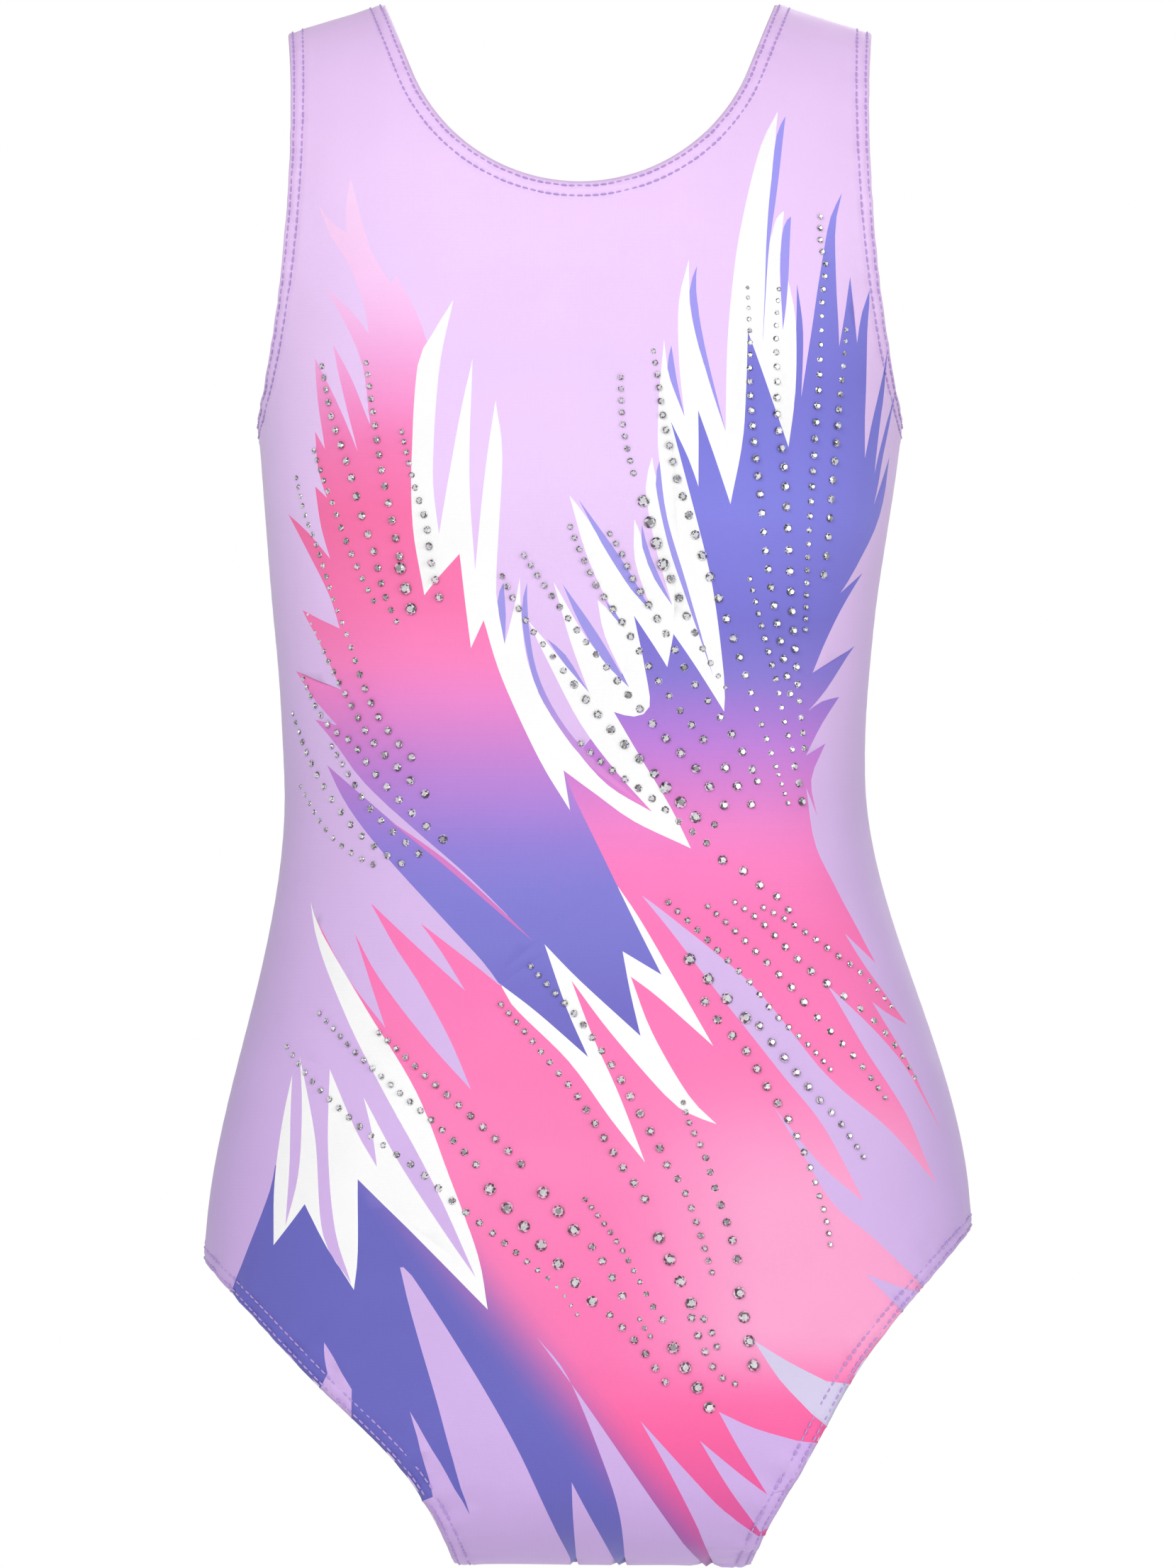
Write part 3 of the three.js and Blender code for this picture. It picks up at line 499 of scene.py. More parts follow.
def bodyInk(x, z):
    glow = smoothStep(x, *fades["glowAcross"]) * smoothStep(-z, *fades["glowStart"])
    glow = glow * (1 - smoothStep(-z, *fades["glowEnd"]))
    ink = mixInk(inkAt("right", z), inkAt("lightPink", z), glow)
    edge = fades["blueEdge"] + fades["blueSlope"] * (fades["blueEdgeHeight"] - z)
    left, right = fades["blueSoft"]
    blue = (1 - smoothStep(x, edge - left, edge + right)) * smoothStep(-z, *fades["blueStart"])
    return mixInk(ink, inkAt("deepBlue", z), blue)


def plainInk(name):
    return lambda x, z: inkAt(name, z)


def outline(strokes):
    points = [strokes[0][0]]
    for number, stroke in enumerate(strokes):
        run = [np.array(p, float) for p in (stroke if number == 0 else [points[-1], *stroke])]
        for i in range(len(run) - 1):
            a, b = run[i], run[i + 1]
            before = run[i - 1] if i else 2 * a - b
            after = run[i + 2] if i + 2 < len(run) else 2 * b - a
            steps = 1 if len(run) == 2 else max(2, int(np.linalg.norm(b - a) / 4.5))
            for k in range(1, steps + 1):
                t = k / steps
                bend = 0.5 * ((b - before) * (t - 2 * t * t + t ** 3) + (after - a) * (t ** 3 - t * t))
                points.append(tuple(a + (b - a) * (3 * t * t - 2 * t ** 3) + bend))
    clean = [p for i, p in enumerate(points) if i == 0 or math.dist(p, points[i - 1]) > 0.05]
    return clean[:-1] if math.dist(clean[0], clean[-1]) < 0.05 else clean


# The rounds and their inks in the order they are laid, each over the ones before.
printLayers = [(feathers["lowerBody"], bodyInk), (feathers["whiteHem"], plainInk("white"))]
printLayers += [(feathers["leftPlume"], plainInk("left")), (feathers["pinkVane"], plainInk("pinkVane"))]
printLayers += [(feathers["whiteFan"], plainInk("white"))]
printLayers += [(vane, plainInk("lilac")) for vane in sprayStripes]
printLayers += [(feathers["whiteSpray"], plainInk("white"))]
printLayers += [(vane, plainInk("vane")) for vane in shadowVanes]
printLayers += [(vane, plainInk("lilac")) for vane in lilacVanes]
printLayers += [(vane, plainInk("pale")) for vane in paleVanes]


# Shader maths: a wrapped socket takes the usual operators and adds Math nodes.
class Wire:
    def __init__(self, maker, socket):
        self.maker, self.socket = maker, socket

    def math(self, operation, other, flip=False):
        pair = (other, self) if flip else (self, other)
        return self.maker.node("ShaderNodeMath", {"operation": operation}, dict(enumerate(pair)))

    def __add__(self, other):
        return self.math("ADD", other)

    def __radd__(self, other):
        return self.math("ADD", other, True)

    def __mul__(self, other):
        return self.math("MULTIPLY", other)

    def __rmul__(self, other):
        return self.math("MULTIPLY", other, True)


class Finish:
    def __init__(self, name, **fixed):
        self.material = bpy.data.materials.new(name)
        self.material.use_nodes = True
        self.tree = self.material.node_tree
        self.shader = self.tree.nodes["Principled BSDF"]
        for key, value in fixed.items():
            self.shader.inputs[key.replace("_", " ")].default_value = value

    def node(self, kind, settings=None, values=None, output=0):
        made = self.tree.nodes.new(kind)
        for key, value in (settings or {}).items():
            if key == "stops":
                while len(made.color_ramp.elements) > 1:
                    made.color_ramp.elements.remove(made.color_ramp.elements[-1])
                made.color_ramp.elements[0].position = value[0][0]
                for place, _ in value[1:]:
                    made.color_ramp.elements.new(place)
                for k, (_, color) in enumerate(value):
                    made.color_ramp.elements[k].color = color
            else:
                setattr(made, key, value)
        for key, value in (values or {}).items():
            if isinstance(value, Wire):
                self.tree.links.new(value.socket, made.inputs[key])
            else:
                made.inputs[key].default_value = value
        return Wire(self, made.outputs[output])

    def feed(self, name, wire):
        self.tree.links.new(wire.socket, self.shader.inputs[name])

    def bump(self, height, distance, strength=1.0):
        values = {"Strength": strength, "Distance": distance, "Height": height}
        self.feed("Normal", self.node("ShaderNodeBump", {}, values))

    def tinted(self, color, shade):
        settings = {"data_type": "RGBA", "blend_type": "MULTIPLY"}
        return self.node("ShaderNodeMix", settings, {0: 1.0, 6: color, 7: shade}, 2)

    def mixed(self, share, first, second):
        colors = {6: (*linear(first), 1), 7: (*linear(second), 1)}
        return self.node("ShaderNodeMix", {"data_type": "RGBA"}, {0: share, **colors}, 2)

    def grey(self, value, low, high):
        ramp = [(0, (low, low, low, 1)), (1, (high, high, high, 1))]
        return self.node("ShaderNodeValToRGB", {"stops": ramp}, {0: value})


def linear(rgb):
    c = np.asarray(rgb, float) / 255
    return np.where(c <= 0.04045, c / 12.92, ((c + 0.055) / 1.055) ** 2.4)


# Wales and courses of the knit, and a wave texture's repeat at a scale of one.
jersey = {"wale": 0.42 * mm, "course": 0.5 * mm, "loopHeight": 0.05 * mm, "waveRepeat": 0.314}


def knitBands(cloth, flat, direction, width):
    settings = {"wave_type": "BANDS", "bands_direction": direction}
    values = {"Vector": flat, "Scale": jersey["waveRepeat"] / width, "Distortion": 0.6, "Detail": 1.0}
    return cloth.node("ShaderNodeTexWave", settings, values, 1)


# Knitted jersey: fine wales and courses on the flat cloth, read from the piece's own UV map.
def knitFinish(name, roughness, sheen, color=None, loopScale=1.0):
    cloth = Finish(name, Roughness=roughness, Sheen_Weight=sheen, Sheen_Roughness=0.45,
                   Specular_IOR_Level=0.35)
    flat = cloth.node("ShaderNodeTexCoord", output=2)
    wales = knitBands(cloth, flat, "X", jersey["wale"] * loopScale)
    courses = knitBands(cloth, flat, "Y", jersey["course"] * loopScale)
    place = cloth.node("ShaderNodeTexCoord", output=3)
    cloudy = cloth.node("ShaderNodeTexNoise", {}, {"Vector": place, "Scale": 42.0, "Detail": 3.0})
    speckle = cloth.node("ShaderNodeTexNoise", {}, {"Vector": place, "Scale": 900.0, "Detail": 1.0})
    if color is None:
        # the print attribute holds the print, with painted shade round the sides and painted light and shade
        # down the lilac
        base = cloth.node("ShaderNodeAttribute", {"attribute_name": "print"}, output=0)
    else:
        base = cloth.mixed(cloudy, color, np.array(color) * 0.97)
    shade = cloth.grey(cloudy * 0.5 + speckle * 0.3 + courses * 0.1 + wales * 0.1, 0.93, 1.05)
    cloth.feed("Base Color", cloth.tinted(base, shade))
    cloth.feed("Roughness", roughness - 0.04 + 0.1 * cloudy)
    cloth.bump(wales * 0.5 + courses * 0.5, jersey["loopHeight"] * loopScale, 0.35)
    return cloth.material


printedJersey = knitFinish("printed jersey", 0.5, 0.25)
clothReverse = knitFinish("jersey reverse", 0.66, 0.2, (226, 208, 240))
liningKnit = knitFinish("lining knit", 0.8, 0.15, (243, 236, 245), 1.4)


def strandFinish(name, color, twist, roughness=0.5):
    strand = Finish(name, Roughness=roughness, Sheen_Weight=0.3)
    place = strand.node("ShaderNodeTexCoord", output=3)
    fibre = strand.node("ShaderNodeTexNoise", {}, {"Vector": place, "Scale": twist, "Detail": 2.0})
    strand.feed("Base Color", strand.mixed(fibre, np.array(color) * 0.82, color))
    strand.feed("Roughness", roughness - 0.08 + 0.16 * fibre)
    strand.bump(fibre, 0.08 * mm, 0.5)
    return strand.material


sewingThread = strandFinish("sewing thread", (204, 172, 240), 2400)
seamThread = strandFinish("overlock thread", (206, 182, 232), 1600, 0.66)
ribbedElastic = strandFinish("ribbed elastic", (244, 242, 238), 1200, 0.7)


def crystalFinish():
    crystal = Finish("foiled crystal", Roughness=0.14, Metallic=0.5, Coat_Weight=1.0, Coat_Roughness=0.03,
                     IOR=1.58)
    # The base colour carries painted reflections: the facet attribute holds bright and dark facets, and a fine
    # noise paints sparkle over them.
    facet = crystal.node("ShaderNodeAttribute", {"attribute_name": "facet"}, output=0)
    place = crystal.node("ShaderNodeTexCoord", output=3)
    paintedSparkle = crystal.node("ShaderNodeTexNoise", {}, {"Vector": place, "Scale": 1500.0, "Detail": 0.0})
    crystal.feed("Base Color", crystal.tinted(facet, crystal.grey(paintedSparkle, 0.72, 1.25)))
    crystal.feed("Roughness", 0.08 + 0.14 * paintedSparkle)
    return crystal.material


crystal = crystalFinish()
print("finishes made")


def addMesh(name, verts, faces, materials, smooth=True):
    mesh = bpy.data.meshes.new(name)
    mesh.from_pydata([tuple(map(float, v)) for v in verts], [], [tuple(map(int, f)) for f in faces])
    for material in materials:
        mesh.materials.append(material)
    mesh.polygons.foreach_set("use_smooth", [smooth] * len(mesh.polygons))
    made = bpy.data.objects.new(name, mesh)
    bpy.context.collection.objects.link(made)
    return made


def settle(obj, node):
    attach(obj, "root")
    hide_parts(node)
    return obj


def applyModifiers(obj):
    bpy.ops.object.select_all(action="DESELECT")
    obj.select_set(True)
    bpy.context.view_layer.objects.active = obj
    for modifier in list(obj.modifiers):
        bpy.ops.object.modifier_apply(modifier=modifier.name)
    obj.select_set(False)


# Cloth panels. Relief is out of the cloth, at distances in from the fold of a hem.
panel = {
    "spacing": 4.4,
    "rowShare": 0.87,
    "edgeStep": 2.6,
    "borderStep": 4.0,
    "margin": 0.4,
    "clearOfLines": 0.9,
    "mergeWithin": 0.1,
    "thickness": 0.8,
    "hemReach": 9.0,
    "hemRows": [0.9, 1.8, 2.7, 3.7, 4.7, 5.6, 7.0, 8.6],
    "hemRelief": [(0, -0.45), (0.9, 0.3), (1.8, -0.2), (2.7, 0.12), (3.7, 0.22), (4.7, 0.1), (5.6, -0.22),
                  (7.0, 0.2), (8.6, 0.04), (12, 0)],
    "puckerHeight": 0.4,
    "puckerGain": 1.6,
    "puckerLength": 5.2,
    "puckerSpread": (3.5, 5),  # middle and reach, in from the fold
    "creaseHeight": 1.0,
    "creaseFromHem": (3, 30),
    "creaseFromSide": (0, 25),
    "gatherLength": 7.5,
    "gatherHeight": 1.6,
    "gatherFaint": 0.25,
    "gatherSpread": (9, 13),
    "gatherDown": (430, 500),
    "seamFade": (-1, 3),
    "seamDip": 0.35,
    "seamReach": 3.2,
    # painted shade: the lilac is darkened towards the sides over this reach across the flat cloth, by these
    # shares of red, green and blue
    "sideShade": (90, 165),
    "sideDarker": (0.06, 0.05, 0.03),
}


def edgeTree(places):
    tree = kdtree.KDTree(len(places))
    for i, p in enumerate(places):
        tree.insert(Vector(p), i)
    tree.balance()
    return tree


def outlineOf(edges, front):
    step = panel["borderStep"]
    out = list(edges["neck"]) + list(edges["right_armhole"])
    down = np.arange(edges["right_armhole"][-1][1] + step, edges["right_leg"][0][1] - step / 2, step)
    q = body["girthQuarter"]
    out += [np.array([-q, v]) for v in down]
    out += list(edges["right_leg"])
    across = np.arange(edges["right_leg"][-1][0] + step, edges["left_leg"][-1][0] - step / 2, step)
    out += [np.array([u, runLength[front]]) for u in across]
    out += list(edges["left_leg"][::-1])
    out += [np.array([q, v]) for v in down[::-1]]
    out += list(edges["left_armhole"][::-1])
    return [tuple(p) for i, p in enumerate(out) if np.linalg.norm(p - out[i - 1]) > 0.2]


# Which of the spots a closed round goes about, by its winding number.
def insideRound(spots, ring):
    found = np.zeros(len(spots), bool)
    low, high = ring.min(axis=0), ring.max(axis=0)
    near = np.flatnonzero((spots >= low).all(axis=1) & (spots <= high).all(axis=1))
    x, y = spots[near, 0], spots[near, 1]
    winding = np.zeros(len(near), int)
    for a, b in zip(ring, np.roll(ring, -1, axis=0)):
        side = (b[0] - a[0]) * (y - a[1]) - (x - a[0]) * (b[1] - a[1])
        winding += ((a[1] <= y) & (b[1] > y) & (side > 0)).astype(int)
        winding -= ((a[1] > y) & (b[1] <= y) & (side < 0)).astype(int)
    found[near] = winding != 0
    return found


# The border of the panel and the rounds of its print as flat points, each with its ink.
def panelRounds(edges, front):
    rounds = [(outlineOf(edges, front), None)]
    if front:
        for strokes, ink in printLayers:
            points = np.array(outline(strokes))
            u, v = flatPlace(points[:, 0], points[:, 1], True)
            rounds.append((list(zip(u, v)), ink))
    return rounds


# Flat points between the lines: rows beside each hem, then an even spread over the rest.
def spreadPoints(edges, tree, front):
    rowsIn = [tuple(p) for e in edges.values() for d in panel["hemRows"] for p in beside(e, d, front)]
    q, step = body["girthQuarter"], panel["spacing"]
    inner = []
    for r, v in enumerate(np.arange(step / 2, runLength[front] - 1, step * panel["rowShare"])):
        for u in np.arange(-q + (step / 2 if r % 2 else step), q - 1, step):
            inner.append((u, v))
    inner = np.array(inner)
    places = clothPlace(inner[:, 0], inner[:, 1], front)[0]
    reach = panel["hemReach"] + 1
    return rowsIn + [tuple(inner[i]) for i, p in enumerate(places) if tree.find(Vector(p))[2] > reach]


# Triangles within the border that follow every round's line, and the number of the round on each.
def triangulate(rounds, spread, front):
    points, lines = [], []
    for ring, _ in rounds:
        start = len(points)
        points += [Vector((float(p[0]), float(-p[1]))) for p in ring]
        lines += [(start + k, start + (k + 1) % len(ring)) for k in range(len(ring))]
    drawnPoints = edgeTree([(p.x, p.y, 0) for p in points])
    margin, side = panel["margin"], body["girthQuarter"] - panel["margin"]
    for p in spread:
        clear = drawnPoints.find(Vector((float(p[0]), float(-p[1]), 0)))[2] > panel["clearOfLines"]
        if clear and abs(p[0]) < side and margin < p[1] < runLength[front] - margin:
            points.append(Vector((float(p[0]), float(-p[1]))))
    verts, _, cells, _, _, _ = delaunay_2d_cdt(points, lines, [], 0, panel["mergeWithin"])
    spots = np.array([(v[0], -v[1]) for v in verts])
    middles = spots[np.array([cell[:3] for cell in cells])].mean(axis=1)
    within = insideRound(middles, np.array(rounds[0][0]))
    cells = [cell for i, cell in enumerate(cells) if within[i]]
    middles = middles[within]
    layers = np.zeros(len(cells), int)
    for number, (ring, ink) in enumerate(rounds):
        if ink is not None:
            layers[insideRound(middles, np.array(ring))] = number
    used = sorted({k for cell in cells for k in cell})
    index = {k: n for n, k in enumerate(used)}
    return spots[used], [[index[k] for k in cell] for cell in cells], layers


def hill(distance, spread):
    middle, reach = spread
    return np.exp(-((distance - middle) / reach) ** 2)


# How far the cloth stands out at each place: hems, gathers, puckers, creases and seams.
def reliefAt(places, flat, tree, front):
    nearest = [tree.find(Vector(p)) for p in places]
    distance = np.array([n[2] for n in nearest])
    along = np.array([n[1] for n in nearest]) * panel["edgeStep"]
    fromSide = body["girthQuarter"] - np.abs(flat[:, 0])
    stops = panel["hemRelief"]
    relief = np.interp(distance, [s[0] for s in stops], [s[1] for s in stops])
    gather = np.array([noise.noise(Vector((s / panel["gatherLength"], 5.0, 0.0))) for s in along])
    drawn = smoothStep(-places[:, 2], *panel["gatherDown"])  # the leg hems pull in the cloth beside them
    gather = gather * (panel["gatherFaint"] + panel["gatherHeight"] * drawn)
    relief += gather * hill(distance, panel["gatherSpread"])
    wave = np.array([noise.noise(Vector(p) / panel["puckerLength"]) for p in places])
    relief += panel["puckerHeight"] * wave * hill(distance, panel["puckerSpread"]) * panel["puckerGain"]
    crease = np.array([noise.noise(Vector((p[0] * 0.012 + 7, p[1] * 0.02, p[2] * 0.028))) for p in places])
    fine = [noise.noise(Vector((p[0] * 0.03, p[1] * 0.03 + 3, p[2] * 0.06))) for p in places]
    crease += 0.5 * np.array(fine)
    calm = smoothStep(distance, *panel["creaseFromHem"]) * smoothStep(fromSide, *panel["creaseFromSide"])
    relief += panel["creaseHeight"] * crease * calm
    seamed = np.minimum(fromSide, np.minimum(flat[:, 1], runLength[front] - flat[:, 1]))
    relief *= smoothStep(seamed, *panel["seamFade"])
    return relief - panel["seamDip"] * (1 - smoothStep(seamed, 0, panel["seamReach"]))


# The colour of each corner: lilac, made a little darker round the sides as painted shade, and the print over
# it.
def paintPrintAndShade(cloth, cells, layers, rounds, places, flat):
    corners = np.array([k for cell in cells for k in cell])
    owner = np.repeat(layers, 3)
    px, pz = places[corners, 0], places[corners, 2]
    # painted shade: the lilac is made darker towards the sides, where the body turns away from the light
    edge = smoothStep(np.abs(flat[corners, 0]), *panel["sideShade"])[:, None]
    tint = inkAt("lilac", pz) * (1 - edge * np.array(panel["sideDarker"]))
    for number, (_, ink) in enumerate(rounds):
        mine = owner == number
        if ink is not None and mine.any():
            tint[mine] = ink(px[mine], pz[mine])
    colors = np.ones((len(corners), 4))
    colors[:, :3] = linear(tint)
    # the print attribute carries the print together with the painted side shade, and the painted light and
    # shade in the lilac
    layer = cloth.data.color_attributes.new("print", "FLOAT_COLOR", "CORNER")
    layer.data.foreach_set("color", colors.ravel())


def mapFlat(obj, corners):
    layer = obj.data.uv_layers.new(name="flat")
    layer.data.foreach_set("uv", np.array(corners).ravel())


def thicken(obj, thickness):
    wall = obj.modifiers.new("wall", "SOLIDIFY")
    wall.thickness = thickness * mm
    wall.offset = -1
    wall.material_offset = len(obj.data.materials) - 1
    applyModifiers(obj)


def cutPanel(name, front):
    edges = openingEdges(front, panel["edgeStep"])
    tree = edgeTree(np.concatenate([clothPlace(e[:, 0], e[:, 1], front)[0] for e in edges.values()]))
    rounds = panelRounds(edges, front)
    flat, cells, layers = triangulate(rounds, spreadPoints(edges, tree, front), front)
    flat[:, 0] = np.clip(flat[:, 0], -body["girthQuarter"], body["girthQuarter"])
    flat[:, 1] = np.clip(flat[:, 1], 0, runLength[front])
    places, normals = clothPlace(flat[:, 0], flat[:, 1], front)
    surface = (places + reliefAt(places, flat, tree, front)[:, None] * normals) * mm
    a, b, c = (surface[[cell[k] for cell in cells]] for k in range(3))
    turned = (np.cross(b - a, c - a) * normals[[cell[0] for cell in cells]]).sum(1) < 0
    cells = [cell[::-1] for cell in cells] if turned.mean() > 0.5 else cells  # all the same way round
    cloth = addMesh(name + "_cloth", surface, cells, [printedJersey, clothReverse])
    mapFlat(cloth, [flat[k] * mm for cell in cells for k in cell])
    paintPrintAndShade(cloth, cells, layers, rounds, places, flat)
    thicken(cloth, panel["thickness"])
    return cloth, edges


# A strip along a worn line, with a section of corners (distance in, depth) in order round it.
def sweepStrip(edge, front, section):
    rings = []
    for inward, depth in section:
        line = beside(edge, inward, front)
        line[:, 1] = np.clip(line[:, 1], 0.05, runLength[front] - 0.05)
        rings.append(clothPlace(line[:, 0], line[:, 1], front, np.full(len(line), float(depth)))[0])
    rings = np.array(rings).transpose(1, 0, 2)
    count, corners = rings.shape[:2]
    faces = []
    for i in range(count - 1):
        for k in range(corners):
            k2 = (k + 1) % corners
            faces.append((i * corners + k, i * corners + k2, (i + 1) * corners + k2, (i + 1) * corners + k))
    faces += [tuple(range(corners))[::-1], tuple((count - 1) * corners + k for k in range(corners))]
    return rings.reshape(-1, 3) * mm, faces


def evenNormals(obj):
    bpy.ops.object.select_all(action="DESELECT")
    obj.select_set(True)
    bpy.context.view_layer.objects.active = obj
    bpy.ops.object.mode_set(mode="EDIT")
    bpy.ops.mesh.select_all(action="SELECT")
    bpy.ops.mesh.normals_make_consistent(inside=False)
    bpy.ops.object.mode_set(mode="OBJECT")
    obj.select_set(False)


def joined(parts, name):
    bpy.ops.object.select_all(action="DESELECT")
    for part in parts:
        part.select_set(True)
    bpy.context.view_layer.objects.active = parts[0]
    if len(parts) > 1:
        bpy.ops.object.join()
    parts[0].name = name
    parts[0].data.name = name
    parts[0].select_set(False)
    return parts[0]


# The fold that turns each hem in, over its elastic.
hem = {"section": [(0.55, 0.45), (-0.1, 0.7), (-0.25, 1.7), (0.05, 2.8), (1.2, 3.2), (4.8, 3.25),
                   (8.3, 3.2), (8.4, 2.6), (4.8, 2.45), (1.2, 2.4), (0.75, 2.1), (0.65, 1.2)]}


def foldHem(name, edge, front):
    places, faces = sweepStrip(edge, front, hem["section"])
    strip = addMesh(name + "_fold", places, faces, [clothReverse])
    corners = [strip.data.vertices[k].co for face in strip.data.polygons for k in face.vertices]
    mapFlat(strip, [(corner.x, corner.z) for corner in corners])
    strip.data.color_attributes.new("print", "FLOAT_COLOR", "CORNER")
    evenNormals(strip)
    return strip


panelEdges, panelPieces = {}, {}
for front in (True, False):
    name = "front_panel" if front else "back_panel"
    cloth, panelEdges[front] = cutPanel(name, front)
    strips = [foldHem(key, edge, front) for key, edge in panelEdges[front].items()]
    piece = joined([cloth, *strips], name + "_visual")
    settle(piece, name)
    panelPieces[front] = piece
    print(piece.name, len(piece.data.polygons), "faces")
print("panels cut")


# Sewn stitches, one capsule each, on the worn line of every hem.
stitch = {"pitch": 2.9, "length": 2.35, "width": 0.72, "height": 0.6, "lift": 0.02, "reach": 0.8,
          "rows": {"outer": 1.8, "inner": 5.6}}


# One stitch: a rounded strand that dives into the cloth at both ends.
def stitchShape():
    stations = [(-0.5, 0.25, -0.35), (-0.36, 0.8, 0.05), (0, 1.0, 0.3), (0.36, 0.8, 0.05), (0.5, 0.25, -0.35)]
    points, faces, sides = [], [], 6
    for along, thick, rise in stations:
        for k in range(sides):
            turn = 2 * math.pi * k / sides
            points.append((along * stitch["length"], math.cos(turn) * thick * stitch["width"] / 2,
                           math.sin(turn) * thick * stitch["height"] / 2 + rise * stitch["height"]))
    for i in range(len(stations) - 1):
        for k in range(sides):
            k2 = (k + 1) % sides
            faces.append((i * sides + k, (i + 1) * sides + k, (i + 1) * sides + k2, i * sides + k2))
    faces += [tuple(range(sides)), tuple(len(points) - sides + k for k in range(sides))[::-1]]
    return np.array(points), faces


# A shape set at many places, each with its own along and outward directions and scale.
def setMany(shape, faces, places, alongs, normals, scales):
    allPoints, allFaces = [], []
    for place, along, normal, scale in zip(places, alongs, normals, scales):
        along = along - normal * np.dot(along, normal)
        along /= np.linalg.norm(along)
        basis = np.array([along, np.cross(normal, along), normal])
        start = len(allPoints) * len(shape)
        allPoints.append(place + (shape * scale) @ basis)
        allFaces += [tuple(start + k for k in face) for face in faces]
    return np.concatenate(allPoints) * mm, allFaces


def wornRow(edge, inward, front, depth=0.0):
    line = beside(edge, inward, front)
    line[:, 1] = np.clip(line[:, 1], 0.05, runLength[front] - 0.05)
    return clothPlace(line[:, 0], line[:, 1], front, np.full(len(line), depth))


def sewRow(opening, row):
    places, alongs, normals = [], [], []
    for front in (True, False):
        p, n = wornRow(panelEdges[front][opening], stitch["rows"][row], front, -stitch["lift"])
        run = np.concatenate([[0], np.cumsum(np.linalg.norm(np.diff(p, axis=0), axis=1))])
        count = int(run[-1] / stitch["pitch"])
        at = (np.arange(count) + 0.5) * run[-1] / count
        here = np.stack([np.interp(at, run, p[:, k]) for k in range(3)], -1)
        ahead = np.stack([np.interp(at + stitch["reach"], run, p[:, k]) for k in range(3)], -1)
        behind = np.stack([np.interp(at - stitch["reach"], run, p[:, k]) for k in range(3)], -1)
        places.append(here)
        alongs.append(ahead - behind)
        normals.append(np.stack([np.interp(at, run, n[:, k]) for k in range(3)], -1))
    places, alongs, normals = (np.concatenate(v) for v in (places, alongs, normals))
    normals /= np.linalg.norm(normals, axis=1)[:, None]
    shape, faces = stitchShape()
    points, faces = setMany(shape, faces, places, alongs, normals, np.ones(len(places)))
    node = f"{opening}_stitching_{row}"
    piece = addMesh(node + "_stitches", points, faces, [sewingThread])
    evenNormals(piece)
    settle(piece, node)


for opening in panelEdges[True]:
    for row in stitch["rows"]:
        sewRow(opening, row)
print("hems stitched")

# Flat elastic in each hem, with rounded edges and a rib along each side.
elastic = {"section": [(1.15, 1.45), (1.5, 1.3), (2.4, 1.36), (4.1, 1.3), (5.8, 1.36), (6.7, 1.3),
                       (7.05, 1.45), (7.05, 1.7), (6.7, 1.85), (4.1, 1.88), (1.5, 1.85), (1.15, 1.7)]}
for opening in panelEdges[True]:
    bands = []
    for front in (True, False):
        points, faces = sweepStrip(panelEdges[front][opening], front, elastic["section"])
        bands.append(addMesh("band", points, faces, [ribbedElastic]))
        evenNormals(bands[-1])
    node = opening + "_elastic"
    settle(joined(bands, node + "_band"), node)
print("elastics laid")

# Overlocked seams inside, a padded ridge wrapped by looped threads.
overlock = {"width": 5.6, "height": 1.0, "top": 1.1, "loopPitch": 2.2, "loopHeight": 0.28, "step": 0.7,
            "across": 8, "hemEnd": 10.0, "sidePoints": 200, "shoulderPoints": 60, "crotchPoints": 80}


# One seam along a run of worn places, each with its outward and sideways directions.
def sewSeam(node, places, outward, sideways):
    run = np.concatenate([[0], np.cumsum(np.linalg.norm(np.diff(places, axis=0), axis=1))])
    count = int(run[-1] / overlock["step"])
    at = np.linspace(0, run[-1], count)
    p, n, s = (np.stack([np.interp(at, run, line[:, k]) for k in range(3)], -1)
               for line in (places, outward, sideways))
    points, faces, ring = [], [], overlock["across"] * 2
    for i in range(count):
        wave = math.sin(2 * math.pi * at[i] / overlock["loopPitch"])
        closing = min(1.0, min(i, count - 1 - i) / 3 + 0.25)
        for k in range(ring):
            turn = 2 * math.pi * k / ring
            bulge = 1 + overlock["loopHeight"] * wave * abs(math.sin(turn)) * 0.5
            sx = math.copysign(abs(math.cos(turn)) ** 0.5, math.cos(turn)) * overlock["width"] / 2 * closing
            sy = math.copysign(abs(math.sin(turn)) ** 0.7, math.sin(turn)) * overlock["height"] / 2
            sy = sy * bulge * closing
            sx *= 1 + 0.04 * wave
            points.append(p[i] + s[i] * sx - n[i] * (overlock["top"] + overlock["height"] / 2 + sy))
    for i in range(count - 1):
        for k in range(ring):
            k2 = (k + 1) % ring
            faces.append((i * ring + k, (i + 1) * ring + k, (i + 1) * ring + k2, i * ring + k2))
    faces += [tuple(range(ring)), tuple((count - 1) * ring + k for k in range(ring))]
    piece = addMesh(node + "_overlock", np.array(points) * mm, faces, [seamThread])
    evenNormals(piece)
    settle(piece, node)


def straightSeam(node, u, v, outward):
    count = max(np.size(u), np.size(v))
    places = sway(formPlace(np.broadcast_to(u, count), np.broadcast_to(v, count), True))
    sewSeam(node, places, np.tile(outward, (count, 1)), np.tile([0.0, 1.0, 0.0], (count, 1)))


